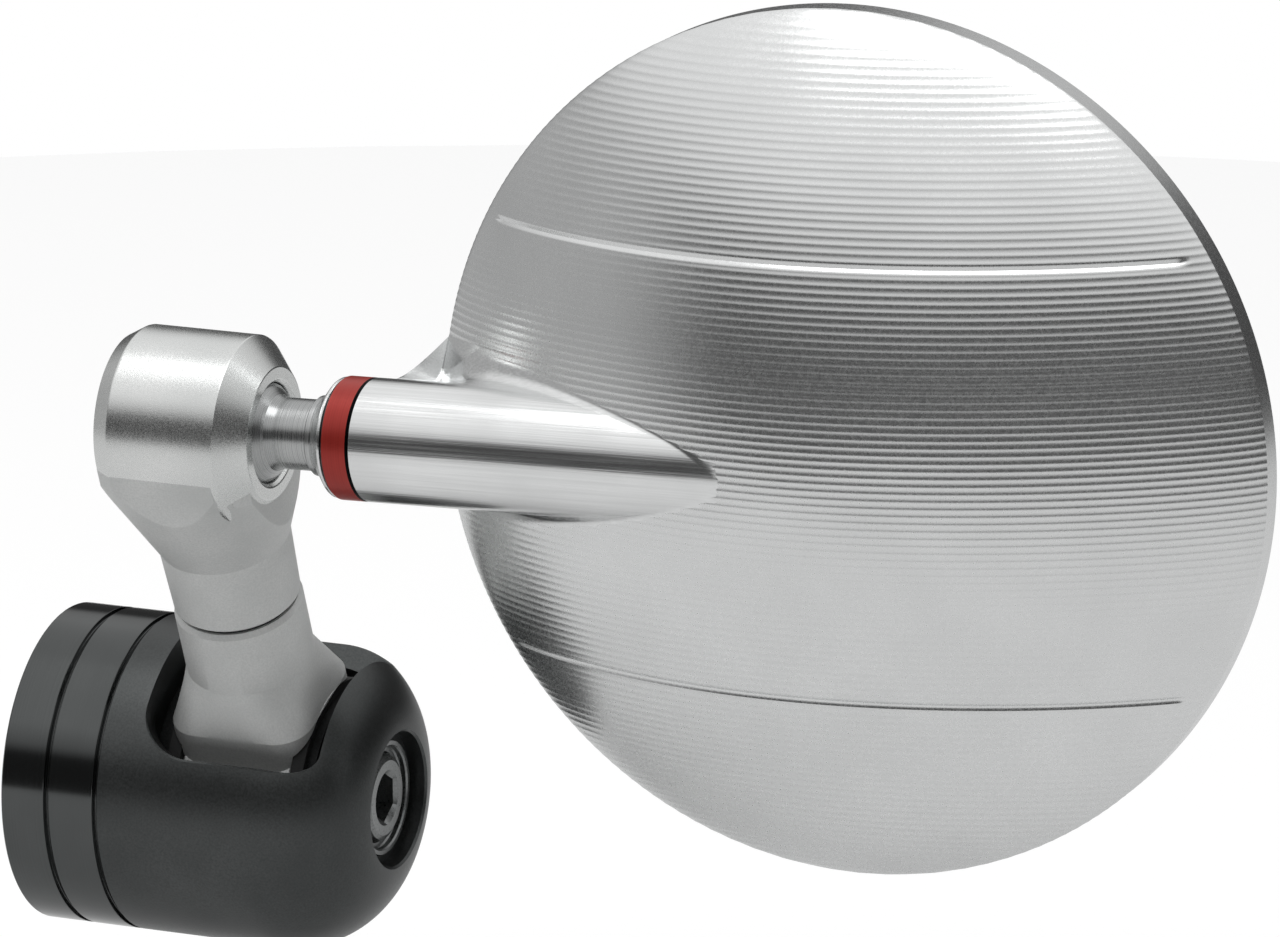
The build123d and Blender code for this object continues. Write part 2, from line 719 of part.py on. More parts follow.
def make_mirror_glass():
    """Round glass with a ground bevel, sunk just behind the rim."""
    back = -(RIM_L - GLASS_SINK)
    glass_r = DISC_R - RIM_WALL - RUN
    body = turned_z(
        (0, back),
        (glass_r - GLASS_BEVEL, back),
        (glass_r, back + GLASS_BEVEL),
        (glass_r, back + GLASS_L),
        (0, back + GLASS_L),
    )
    return disc_frame * body


PIECES = {
    "end_ring": make_end_ring,
    "middle_ring": make_middle_ring,
    "clamp_housing": make_housing,
    "pivot_bush": make_pivot_bush,
    "clamp_screw": make_clamp_screw,
    "thrust_disc_in": make_thrust_in,
    "friction_disc_in": make_friction_in,
    "friction_disc_out": make_friction_out,
    "thrust_disc_out": make_thrust_out,
    "pivot_spring": make_pivot_spring,
    "arm_foot": make_arm_foot,
    "swivel_grub": make_swivel_grub,
    "swivel_pad": make_swivel_pad,
    "arm_head": make_arm_head,
    "ball_seat_front": make_front_seat,
    "ball_seat_rear": make_rear_seat,
    "disc_spring_a": make_disc_spring_a,
    "disc_spring_b": make_disc_spring_b,
    "tension_plug": make_tension_plug,
    "ball_stud": make_ball_stud,
    "neck_seal": make_neck_seal,
    "sleeve_end_cap": make_end_cap,
    "accent_ring": make_accent_ring,
    "mirror_shell": make_mirror_shell,
    "glass_pad": make_glass_pad,
    "mirror_glass": make_mirror_glass,
}

for name, make in PIECES.items():
    export_step(make(), "parts/" + name + ".step")
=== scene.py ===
"""Studio scene of a bar end mirror: black slotted clamp, silver two-piece arm and a round milled mirror."""
from __future__ import annotations

import json
import logging
from dataclasses import dataclass
from enum import Enum

import bmesh
import bpy
import numpy as np
from mathutils import Matrix

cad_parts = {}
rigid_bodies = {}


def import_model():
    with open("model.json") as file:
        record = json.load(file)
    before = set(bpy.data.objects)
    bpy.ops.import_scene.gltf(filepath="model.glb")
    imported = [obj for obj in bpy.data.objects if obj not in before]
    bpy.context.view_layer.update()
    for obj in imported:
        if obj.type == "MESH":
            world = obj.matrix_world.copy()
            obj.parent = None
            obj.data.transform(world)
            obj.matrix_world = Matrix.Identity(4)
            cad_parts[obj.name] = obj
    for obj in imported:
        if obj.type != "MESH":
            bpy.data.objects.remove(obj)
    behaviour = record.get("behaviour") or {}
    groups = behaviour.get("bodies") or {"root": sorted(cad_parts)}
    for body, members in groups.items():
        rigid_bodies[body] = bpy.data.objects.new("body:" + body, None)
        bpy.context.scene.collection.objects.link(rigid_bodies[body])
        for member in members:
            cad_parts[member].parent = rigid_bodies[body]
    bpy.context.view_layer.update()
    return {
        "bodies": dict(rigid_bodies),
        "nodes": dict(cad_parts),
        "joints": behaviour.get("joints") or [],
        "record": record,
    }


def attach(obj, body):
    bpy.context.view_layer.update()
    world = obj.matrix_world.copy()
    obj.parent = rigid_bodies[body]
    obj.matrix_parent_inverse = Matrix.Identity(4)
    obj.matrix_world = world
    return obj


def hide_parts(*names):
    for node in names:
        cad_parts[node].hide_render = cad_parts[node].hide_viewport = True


Profile = list[tuple[float, float]] | np.ndarray
Nodes = dict[str, bpy.types.Object]
Tree = bpy.types.NodeTree
Socket = bpy.types.NodeSocket
LOG = logging.getLogger("bar_end_mirror")
MM = 0.001
TURN = 2 * np.pi
# How far a drawn surface's marks are stretched, the size of the soft clouds in a metal's colour, and
# the spans of the noise that take it from dark to light and from smooth to rough.
DRAWN_SQUEEZE = 0.01
CLOUD_SCALE = 90.0
TONE_SPAN = (0.12, 0.4)
MARK_SPAN = (0.3, 0.7)
WHITE = (1.0, 1.0, 1.0, 1.0)


class Body(Enum):
    """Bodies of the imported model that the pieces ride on."""

    CLAMP = "clamp"
    LOWER_ARM = "lower_arm"
    UPPER_ARM = "upper_arm"
    COLLAR = "collar"
    MIRROR = "mirror"


class Grain(Enum):
    """How a surface was worked, which sets the direction of its marks."""

    BLASTED = "blasted"
    TURNED = "turned"
    DRAWN = "drawn"


@dataclass(frozen=True)
class Frame:
    """A local frame in millimetres: an origin and three unit axes in the row frame."""

    origin: tuple[float, float, float]
    x: tuple[float, float, float]
    y: tuple[float, float, float]
    z: tuple[float, float, float]

    def place(self, points: np.ndarray) -> np.ndarray:
        """Moves local points into the row frame.

        Args:
            points: Array whose last axis holds local x, y and z.

        Returns:
            The same array in row coordinates: origin + x * X + y * Y + z * Z.
        """
        axes = np.array([self.x, self.y, self.z])
        return np.asarray(points) @ axes + np.array(self.origin)


ARM_X = 26.0
ARM_LEAN = np.radians(22.58)
HEAD_S = 50.4
ARM_DIR = np.array([0.0, -np.sin(ARM_LEAN), np.cos(ARM_LEAN)])
BALL = np.array([30.0, 0.0, 0.0]) + HEAD_S * ARM_DIR
BAR = Frame((0, 0, 0), (0, 0, 1), (0, -1, 0), (1, 0, 0))
ARM = Frame((ARM_X, 0, 0), (1, 0, 0), tuple(np.cross(ARM_DIR, [1, 0, 0])), tuple(ARM_DIR))
HEAD = Frame((0, BALL[1], BALL[2]), (0, 0, 1), (0, -1, 0), (1, 0, 0))


def turn_y(angle: float) -> np.ndarray:
    """Returns the matrix that turns a column vector about Y."""
    c, s = np.cos(angle), np.sin(angle)
    return np.array([[c, 0, s], [0, 1, 0], [-s, 0, c]])


def turn_z(angle: float) -> np.ndarray:
    """Returns the matrix that turns a column vector about Z."""
    c, s = np.cos(angle), np.sin(angle)
    return np.array([[c, -s, 0], [s, c, 0], [0, 0, 1]])


TILT = turn_z(np.radians(-1.89)) @ turn_y(np.radians(-2.05))
STUD_X, STUD_Y, STUD_Z = TILT[:, 0], TILT[:, 1], TILT[:, 2]
STUD = Frame(tuple(BALL), tuple(STUD_Z), tuple(-STUD_Y), tuple(STUD_X))
DISC_REACH = 67.4
DISC_DEPTH = 12.0
DISC = Frame(tuple(BALL + DISC_REACH * STUD_X + DISC_DEPTH * STUD_Y), tuple(STUD_X), tuple(STUD_Z), tuple(-STUD_Y))


@dataclass
class Sheet:
    """A grid of points (rows, columns, 3) that may close on itself either way."""

    points: np.ndarray
    loop_rows: bool = False
    loop_columns: bool = False

    def faces(self, offset: int) -> np.ndarray:
        """Works out the quads of the grid.

        Args:
            offset: Index of the grid's first point in the whole mesh.

        Returns:
            An (n, 4) array of point indices.
        """
        rows, columns = self.points.shape[:2]
        index = np.arange(rows * columns).reshape(rows, columns)
        if self.loop_rows:
            index = np.vstack([index, index[:1]])
        if self.loop_columns:
            index = np.hstack([index, index[:, :1]])
        quads = np.stack([index[:-1, :-1], index[:-1, 1:], index[1:, 1:], index[1:, :-1]], axis=-1)
        return quads.reshape(-1, 4) + offset


def arc(centre: tuple[float, float], radius: float, start: float, end: float, count: int) -> np.ndarray:
    """Points on a circle, (centre + radius * (cos a, sin a)), with a from start to end in degrees."""
    a = np.radians(np.linspace(start, end, count))
    return np.stack([centre[0] + radius * np.cos(a), centre[1] + radius * np.sin(a)], axis=1)


def polar(radius: np.ndarray, angle: np.ndarray, along: np.ndarray) -> np.ndarray:
    """Points (radius * cos a, radius * sin a, along), with the three inputs spread to one shape."""
    return np.stack(np.broadcast_arrays(radius * np.cos(angle), radius * np.sin(angle), along), axis=-1)


def soft_corners(profile: Profile, cut: float) -> np.ndarray:
    """Cuts each corner of a closed profile back by a small amount, so that it catches the light.

    Args:
        profile: Closed outline as (along, radius) rows, without repeating the first.
        cut: Largest cut along each side in millimetres; a short side limits it to a third.

    Returns:
        The outline with four points in place of each; the outer two keep the long sides evenly shaded.
    """
    profile = np.asarray(profile)
    ahead = np.roll(profile, -1, axis=0) - profile
    length = np.linalg.norm(ahead, axis=1, keepdims=True)
    step = np.minimum(cut, length / 5) * ahead / np.maximum(length, 1e-9)
    back = np.roll(step, 1, axis=0)
    return np.stack([profile - 2 * back, profile - back, profile + step, profile + 2 * step], axis=1).reshape(-1, 2)


def turned(profile: Profile, frame: Frame, segments: int = 192, closed: bool = True) -> Sheet:
    """A surface of revolution: each (along, radius) row sweeps a circle about the frame's Z axis.

    The point at angle a is (radius * cos a, radius * sin a, along).

    Args:
        profile: Rows of (along, radius) in millimetres.
        frame: Frame whose Z axis is the turning axis.
        segments: Number of points round the circle.
        closed: Whether the last row joins the first; an open profile starts and ends on the axis.

    Returns:
        The closed surface.
    """
    a = np.linspace(0, TURN, segments, endpoint=False)
    rows = np.asarray(profile)
    return Sheet(frame.place(polar(rows[:, 1:], a, rows[:, :1])), loop_rows=closed, loop_columns=True)


def slab(front: np.ndarray, back: np.ndarray) -> list[Sheet]:
    """Closes two facing grids of the same shape into a solid, with a strip along each of the four sides.

    Args:
        front: Grid of the outer face.
        back: Grid of the inner face.

    Returns:
        Both faces and the four strips.
    """
    strips = [
        np.stack([front[0], back[0]]),
        np.stack([front[-1], back[-1]]),
        np.stack([front[:, 0], back[:, 0]]),
        np.stack([front[:, -1], back[:, -1]]),
    ]
    return [Sheet(front), Sheet(back), *[Sheet(strip) for strip in strips]]


def srgb(code: str) -> tuple[float, float, float, float]:
    """Turns an sRGB hex colour into linear values, as a shader takes them.

    Args:
        code: Colour as #RRGGBB.

    Returns:
        Linear red, green and blue, and 1 for alpha.
    """
    value = np.array([int(code[i : i + 2], 16) for i in (1, 3, 5)]) / 255
    linear = np.where(value <= 0.04045, value / 12.92, ((value + 0.055) / 1.055) ** 2.4)
    return (float(linear[0]), float(linear[1]), float(linear[2]), 1.0)


def empty_tree(owner: bpy.types.Material | bpy.types.World) -> bpy.types.NodeTree:
    """Turns on the nodes of a material or world and clears them.

    Args:
        owner: Material or world.

    Returns:
        Its empty node tree.
    """
    owner.use_nodes = True
    owner.node_tree.nodes.clear()
    return owner.node_tree


def add_node(tree: Tree, kind: str, settings: dict | None = None, inputs: dict | None = None) -> bpy.types.Node:
    """Adds a node with its settings and its links.

    Args:
        tree: Node tree that gets the node.
        kind: Node type name, without its ShaderNode prefix.
        settings: Attribute names and values.
        inputs: Input names or numbers, each with a value or the socket that feeds it.

    Returns:
        The new node.
    """
    node = tree.nodes.new("ShaderNode" + kind)
    for name, value in (settings or {}).items():
        setattr(node, name, value)
    for name, value in (inputs or {}).items():
        if isinstance(value, Socket):
            tree.links.new(value, node.inputs[name])
        else:
            node.inputs[name].default_value = value
    return node


def math_node(tree: Tree, operation: str, first: Socket, second: Socket | float) -> Socket:
    """Adds a Math node for two values and returns its result."""
    return add_node(tree, "Math", {"operation": operation}, {0: first, 1: second}).outputs[0]


def remap(tree: Tree, value: Socket, span: tuple[float, float], target: tuple[float, float] = (0.0, 1.0)) -> Socket:
    """Adds a Map Range node that takes one span of values to another."""
    ends = {"From Min": span[0], "From Max": span[1], "To Min": target[0], "To Max": target[1]}
    return add_node(tree, "MapRange", None, {"Value": value, **ends}).outputs[0]


def blend(tree: Tree, factor: Socket, first: tuple | Socket, second: tuple) -> Socket:
    """Adds a colour Mix node, first at factor 0 and second at 1."""
    return add_node(tree, "Mix", {"data_type": "RGBA"}, {"Factor": factor, 6: first, 7: second}).outputs[2]


def join(tree: Tree, x: Socket, y: Socket, z: Socket | float) -> Socket:
    """Adds a Combine XYZ node and returns its vector."""
    return add_node(tree, "CombineXYZ", None, {0: x, 1: y, 2: z}).outputs[0]


def finish_tree(tree: Tree, inputs: dict, height: Socket, strength: float, depth: float) -> None:
    """Ends a material's tree with a bump and the shader.

    Args:
        tree: Node tree of the material.
        inputs: The shader's other inputs.
        height: Height of the bump, from 0 to 1.
        strength: How strongly the bump shows.
        depth: Depth of the bump in metres.
    """
    bump = add_node(tree, "Bump", None, {"Height": height, "Strength": strength, "Distance": depth}).outputs[0]
    shader = add_node(tree, "BsdfPrincipled", None, {"Normal": bump, **inputs})
    add_node(tree, "OutputMaterial", None, {"Surface": shader.outputs[0]})


def local_axis(tree: Tree, point: Socket, frame: Frame, axis: tuple) -> Socket:
    """Measures Object coordinates along one axis of a frame, in metres from its origin.

    Args:
        tree: Node tree that gets the nodes.
        point: Object coordinates.
        frame: Frame to measure in.
        axis: Unit axis of the frame.

    Returns:
        The distance socket.
    """
    start = tuple(float(v) * MM for v in frame.origin)
    away = add_node(tree, "VectorMath", {"operation": "SUBTRACT"}, {0: point, 1: start})
    along = {0: away.outputs[0], 1: tuple(float(v) for v in axis)}
    return add_node(tree, "VectorMath", {"operation": "DOT_PRODUCT"}, along).outputs["Value"]


@dataclass(frozen=True)
class MetalFinish:
    """A worked and anodised or bare metal.

    The colour wanders between two close values, the roughness follows the same marks and a fine
    bump gives the tool marks. mark_mm is the real spacing of the marks.
    """

    name: str
    light: str
    dark: str
    roughness: float
    spread: float
    mark_mm: float
    bump: float
    grain: Grain = Grain.BLASTED
    metallic: float = 1.0

    def coordinates(self, tree: Tree, frame: Frame) -> Socket:
        """Builds the pattern coordinates in units of one mark.

        A blasted surface uses Object coordinates as they are. A turned one uses the distance along
        the axis and the distance from it, so that the marks are rings. A drawn one squeezes the
        coordinate along the axis, so that the marks are long lines.

        Args:
            tree: Node tree of the material.
            frame: Frame whose Z axis is the turning or drawing axis.

        Returns:
            The vector socket.
        """
        point = add_node(tree, "TexCoord").outputs["Object"]
        if self.grain is not Grain.BLASTED:
            u, v, w = (local_axis(tree, point, frame, axis) for axis in (frame.x, frame.y, frame.z))
            if self.grain is Grain.TURNED:
                flat = join(tree, u, v, 0.0)
                radius = add_node(tree, "VectorMath", {"operation": "LENGTH"}, {0: flat}).outputs["Value"]
                point = join(tree, radius, w, 0.0)
            else:
                point = join(tree, u, v, math_node(tree, "MULTIPLY", w, DRAWN_SQUEEZE))
        grown = {0: point, "Scale": 1 / (self.mark_mm * MM)}
        return add_node(tree, "VectorMath", {"operation": "SCALE"}, grown).outputs[0]

    def build(self, frame: Frame) -> bpy.types.Material:
        """Makes the material.

        Args:
            frame: Frame whose Z axis the marks follow.

        Returns:
            The new material.
        """
        material = bpy.data.materials.new(self.name)
        tree = empty_tree(material)
        where = self.coordinates(tree, frame)
        marks = add_node(tree, "TexNoise", None, {"Vector": where, "Scale": 1.0, "Detail": 3.0}).outputs["Fac"]
        point = add_node(tree, "TexCoord").outputs["Object"]
        cloud = add_node(tree, "TexNoise", None, {"Vector": point, "Scale": CLOUD_SCALE, "Detail": 2.0}).outputs["Fac"]
        tone = remap(tree, math_node(tree, "MULTIPLY", marks, cloud), TONE_SPAN)
        colour = blend(tree, tone, srgb(self.dark), srgb(self.light))
        rough = remap(tree, marks, MARK_SPAN, (self.roughness - self.spread, self.roughness + self.spread))
        inputs = {"Base Color": colour, "Roughness": rough, "Metallic": self.metallic}
        finish_tree(tree, inputs, marks, self.bump, self.mark_mm * MM * 0.25)
        return material


@dataclass(frozen=True)
class DullFinish:
    """A moulded or pressed non-metal: rubber, friction composite or acetal."""

    name: str
    light: str
    dark: str
    roughness: float
    grit_mm: float
    bump: float

    def build(self, frame: Frame) -> bpy.types.Material:
        """Makes the material from an even grit, which has no direction.

        Args:
            frame: Taken so that every finish is built alike; the grit doesn't use it.

        Returns:
            The new material.
        """
        material = bpy.data.materials.new(self.name)
        tree = empty_tree(material)
        point = add_node(tree, "TexCoord").outputs["Object"]
        grain = {"Vector": point, "Scale": 1 / (self.grit_mm * MM), "Detail": 4.0}
        grit = add_node(tree, "TexNoise", None, grain).outputs["Fac"]
        colour = blend(tree, grit, srgb(self.dark), srgb(self.light))
        inputs = {"Base Color": colour, "Roughness": self.roughness}
        finish_tree(tree, inputs, grit, self.bump, self.grit_mm * MM * 0.3)
        return material


@dataclass(frozen=True)
class Finishes:
    """Every finish on the object, each named for the real material and how its surface was made; the two dark disc
    finishes also carry painted shade.
    """

    # Satin anodised over a blasted face: soft, nearly white, with a fine sparkle.
    arm: MetalFinish = MetalFinish(
        "satin_anodised_blasted_aluminium", "#DADBDA", "#C6C8C7", 0.50, 0.05, 0.22, 0.30, metallic=0.45
    )
    # Turned, then satin anodised: clean bands of light with a fine grain in them.
    head: MetalFinish = MetalFinish("satin_anodised_turned_aluminium", "#E4E5E4", "#D3D5D4", 0.27, 0.05, 0.16, 0.16)
    # Bright cut with a small ball cutter and clear anodised: soft bands broken by the cusps.
    dome: MetalFinish = MetalFinish("bright_milled_aluminium", "#E6E7E7", "#DEDFDF", 0.26, 0.03, 0.35, 0.03)
    # Polished along its length: long thin streaks in the reflections.
    sleeve: MetalFinish = MetalFinish(
        "drawn_polished_aluminium", "#F0F1F1", "#DDDEDE", 0.21, 0.06, 0.20, 0.22, Grain.DRAWN
    )
    # Fine blasted and black anodised: dark, soft and a little metallic.
    housing: MetalFinish = MetalFinish("black_anodised_blasted_aluminium", "#565858", "#484A4A", 0.36, 0.04, 0.25, 0.16)
    # Turned and black anodised: one sharp dark band round each ring.
    ring: MetalFinish = MetalFinish(
        "black_anodised_turned_aluminium", "#5E6060", "#555757", 0.14, 0.03, 0.18, 0.05, Grain.TURNED
    )
    # Turned and anodised red: a deep even colour with a soft sheen.
    accent: MetalFinish = MetalFinish(
        "red_anodised_turned_aluminium", "#B0352C", "#962821", 0.32, 0.04, 0.20, 0.08, Grain.TURNED, 0.4
    )
    # Black dyed edges of the coloured ring: two thin dark lines.
    edge: MetalFinish = MetalFinish("black_edge_aluminium", "#151718", "#0E1011", 0.35, 0.03, 0.20, 0.05)
    # Black oxide on steel: dark grey, with brighter cut edges round the socket.
    screw: MetalFinish = MetalFinish("black_oxide_steel", "#8C8E8E", "#6C6E6E", 0.32, 0.06, 0.25, 0.15)
    # Ground and plated steel: fine bright rings round the neck.
    steel: MetalFinish = MetalFinish("ground_steel", "#B9BABA", "#8E9090", 0.26, 0.06, 0.15, 0.20, Grain.TURNED)
    # Oil blackened spring steel: grey and a little glossy where it shows in a gap.
    spring: MetalFinish = MetalFinish("spring_steel", "#8F9090", "#6A6C6C", 0.35, 0.05, 0.30, 0.15)
    # Phosphated and oiled steel: dark of itself, and kept near black as painted shade, so that the discs inside the
    # slot read as the slot's shadow.
    phosphate_and_shade: MetalFinish = MetalFinish("phosphated_steel_and_painted_shade", "#2C2D2D", "#1C1D1D", 0.50, 0.05, 0.30, 0.15)
    # Silvered glass: very smooth, a little blue.
    glass: MetalFinish = MetalFinish("silvered_glass", "#E4E9EB", "#E0E5E8", 0.012, 0.004, 4.0, 0.0)
    # Moulded rubber, pressed composite and natural acetal: soft light without a clear highlight.
    rubber: DullFinish = DullFinish("black_nitrile_rubber", "#1C1D1D", "#101111", 0.62, 0.5, 0.25)
    # The friction composite is near black: partly its own colour, partly painted shade for the shadow inside the slot.
    composite: DullFinish = DullFinish("pressed_friction_composite_and_painted_shade", "#1B1C1C", "#0C0D0D", 0.7, 0.4, 0.4)
    acetal: DullFinish = DullFinish("natural_acetal", "#E4E1D6", "#D6D2C6", 0.4, 0.8, 0.1)


FINISH = Finishes()


def weld(name: str, sheets: list[Sheet], crease: float = 15.0) -> bpy.types.Object:
    """Joins closed surfaces into one object, with doubled points merged and faces turned outwards.

    Args:
        name: Name of the new object.
        sheets: Grids in row coordinates, in millimetres.
        crease: Angle in degrees past which an edge is shaded sharp.

    Returns:
        The object, at the origin.
    """
    points = np.concatenate([sheet.points.reshape(-1, 3) for sheet in sheets]) * MM
    offsets = np.cumsum([0] + [sheet.points.shape[0] * sheet.points.shape[1] for sheet in sheets[:-1]])
    faces = np.concatenate([sheet.faces(int(offset)) for sheet, offset in zip(sheets, offsets)])
    mesh = bpy.data.meshes.new(name)
    mesh.from_pydata(points.tolist(), [], faces.tolist())
    work = bmesh.new()
    work.from_mesh(mesh)
    bmesh.ops.remove_doubles(work, verts=work.verts, dist=1e-6)
    bmesh.ops.recalc_face_normals(work, faces=work.faces)
    work.to_mesh(mesh)
    work.free()
    mesh.polygons.foreach_set("use_smooth", np.ones(len(mesh.polygons), bool))
    mesh.set_sharp_from_angle(angle=float(np.radians(crease)))
    piece = bpy.data.objects.new(name, mesh)
    bpy.context.scene.collection.objects.link(piece)
    return piece


def dress(piece: bpy.types.Object, body: Body, node: str, material: bpy.types.Material) -> None:
    """Gives a piece its material, its body and the node that it stands for.

    Args:
        piece: Object to dress.
        body: Body that it rides on.
        node: CAD node that it replaces.
        material: Material for all its faces.
    """
    piece.data.materials.append(material)
    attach(piece, body.value)
    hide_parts(node)
    LOG.info("piece %s replaces %s", piece.name, node)


def tint(node: bpy.types.Object, material: bpy.types.Material) -> None:
    """Puts a better material on a CAD node that keeps its shape.

    Args:
        node: CAD node that stays visible.
        material: Its new material.
    """
    node.data.materials.clear()
    node.data.materials.append(material)
    LOG.info("node %s keeps its shape", node.name)


@dataclass
class Clamp:
    """Two rings, the slotted housing, its bush, screw and discs, turned about the bar axis."""

    radius: float = 18.0
    edge: float = 0.18
    joint: float = 0.35
    joint_depth: float = 0.55
    end_ring: float = 5.6
    middle_ring: float = 6.0
    floor: float = 4.6
    wall: float = 2.9
    nose_round: float = 12.0
    nose_x: float = 40.83
    recess_r: float = 7.67
    recess_x: float = 38.6
    cavity_x: float = 36.8
    bush_r: float = 6.6
    bush_face: float = 39.2
    hole_r: float = 3.3
    head_r: float = 5.0
    head_face: float = 39.3
    head_under: float = 33.3
    mouth_r: float = 3.15
    hex_flat: float = 5.0
    socket_depth: float = 3.0
    thread: float = 6.0
    thread_r: float = 3.0
    thread_cut: float = 0.3
    lead: float = 0.6
    waist_r: float = 2.67
    tip: float = -6.7
    slot_front: float = 66.5
    slot_back: float = 40.0
    slot_edge: float = 0.25
    corner_in: float = 6.0
    corner_out: float = 3.3
    ring_cut: float = 0.05
    bush_cut: float = 0.22
    segments: int = 256
    columns: int = 220

    @property
    def housing_x(self) -> float:
        """Inboard face of the housing."""
        return self.end_ring + self.middle_ring

    @property
    def slot_x(self) -> float:
        """Inboard side of the slot."""
        return self.housing_x + self.floor

    @property
    def nose_centre(self) -> tuple[float, float]:
        """Centre of the nose round, as distance along the bar and radius."""
        low = self.radius - self.nose_round
        return self.nose_x - float(np.sqrt(self.nose_round**2 - (self.recess_r - low) ** 2)), low

    def outer(self, x: np.ndarray) -> np.ndarray:
        """Outside radius at x: the barrel's, and past the round's centre low + sqrt(R^2 - (x - c)^2).

        Args:
            x: Places along the bar.

        Returns:
            Radius at each place.
        """
        centre, low = self.nose_centre
        past = np.clip(x - centre, 0, None)
        return low + np.sqrt(self.nose_round**2 - past**2)

    def inner(self, x: np.ndarray) -> np.ndarray:
        """Inside radius at x, one wall inside the outer round.

        Args:
            x: Places along the bar.

        Returns:
            Radius at each place.
        """
        centre, low = self.nose_centre
        past = np.clip(x - centre, 0, None)
        return low + np.sqrt((self.nose_round - self.wall) ** 2 - past**2)

    def ring(self, start: float, length: float) -> Sheet:
        """One clamp ring, with half of the joint groove cut at each side that meets a neighbour.

        Args:
            start: Inboard face along the bar.
            length: Length of the ring.

        Returns:
            The closed ring.
        """
        r, w, end = self.radius, self.joint, start + length
        low = r - self.joint_depth
        plain = [(start, r - self.edge), (self.edge, r)]
        first = [(start, low), (start + w, low), (start + w, r)] if start > 0 else plain
        last = [(end - w, r), (end - w, low), (end, low)]
        profile = [(start, self.hole_r), *first, *last, (end, self.hole_r)]
        return turned(soft_corners(profile, self.ring_cut), BAR, self.segments)

    def corner(self, x: np.ndarray) -> np.ndarray:
        """How far the slot's edge draws back near its ends, in radians.

        Within one corner radius c of an end, at distance d, the edge lies c - sqrt(c^2 - (c - d)^2)
        inside the straight edge, measured on the outside radius.

        Args:
            x: Places along the slot.

        Returns:
            Angle at each place.
        """
        near = np.clip(self.corner_in - (x - self.slot_x), 0, self.corner_in)
        far = np.clip(self.corner_out - (self.cavity_x - x), 0, self.corner_out)
        drawn = self.corner_in - np.sqrt(self.corner_in**2 - near**2)
        drawn += self.corner_out - np.sqrt(self.corner_out**2 - far**2)
        return drawn / self.radius

    def stations(self) -> np.ndarray:
        """Places along the slot, closer together in its rounded corners.

        Returns:
            Places along the bar.
        """
        quarter = np.radians(np.linspace(0, 90, 22))
        first = self.slot_x + self.corner_in * (1 - np.cos(quarter))
        last = self.cavity_x - self.corner_out * (1 - np.cos(quarter[::-1]))
        middle = np.linspace(first[-1], last[0], 24)[1:-1]
        return np.concatenate([first, middle, last])

    def slotted_wall(self) -> list[Sheet]:
        """The C-shaped wall beside the slot.

        At x and share q the angle from straight up is a(q) = front(x) + q * (back(x) - front(x)), and
        the point is (x, -r sin a, r cos a) with r the outer or the inner radius at x. The outermost
        two columns on each side form the broken edge.

        Returns:
            The closed wall.
        """
        x = self.stations()[:, None]
        corner = self.corner(x)
        front = np.radians(self.slot_front) - corner
        back = TURN - np.radians(self.slot_back) + corner
        share = np.concatenate([[0.0], np.linspace(0, 1, self.columns), [1.0]])[None, :]
        chamfer = np.zeros(share.size)
        chamfer[1], chamfer[-2] = self.slot_edge, -self.slot_edge
        angle = front + share * (back - front) + chamfer[None, :] / self.radius
        drop = np.zeros(share.size)
        drop[0] = drop[-1] = self.slot_edge
        outer_r = self.outer(x) - drop[None, :]
        return slab(BAR.place(polar(outer_r, angle, x)), BAR.place(polar(self.inner(x), angle, x)))

    def housing(self) -> list[Sheet]:
        """Inboard floor, slotted wall and nose, each a closed surface.

        Returns:
            The surfaces of the whole housing.
        """
        r, w = self.radius, self.joint
        start, end, low = self.housing_x, self.slot_x, self.radius - self.joint_depth
        floor = [(start, self.bush_r), (start, low), (start + w, low), (start + w, r), (end, r), (end, self.bush_r)]
        x = np.linspace(self.cavity_x, self.nose_x - 0.02, 40)
        crown = np.stack([x, self.outer(x)], axis=1)
        lip = [
            (self.nose_x - 0.05, self.recess_r + 0.25),
            (self.nose_x - 0.3, self.recess_r),
            (self.recess_x, self.recess_r),
            (self.recess_x, self.bush_r),
            (self.cavity_x, self.bush_r),
        ]
        nose = np.concatenate([crown[crown[:, 1] > self.recess_r + 0.3], lip])
        return [turned(floor, BAR, self.segments), turned(nose, BAR, self.segments), *self.slotted_wall()]

    def bush(self) -> Sheet:
        """Pivot bush with the pocket for the screw's head.

        Returns:
            The closed bush.
        """
        face, step_r, pocket_r = self.bush_face, self.head_r + 0.85, self.head_r + 0.05
        start, step, seat = self.housing_x - 1.5, face - 0.9, face - 5.9
        inboard = [(start, self.hole_r), (start, self.bush_r)]
        outboard = [(face, self.bush_r), (face, step_r), (step, step_r), (step, pocket_r)]
        profile = [*inboard, *outboard, (seat, pocket_r), (seat, self.hole_r)]
        return turned(soft_corners(profile, self.bush_cut), BAR, 160)

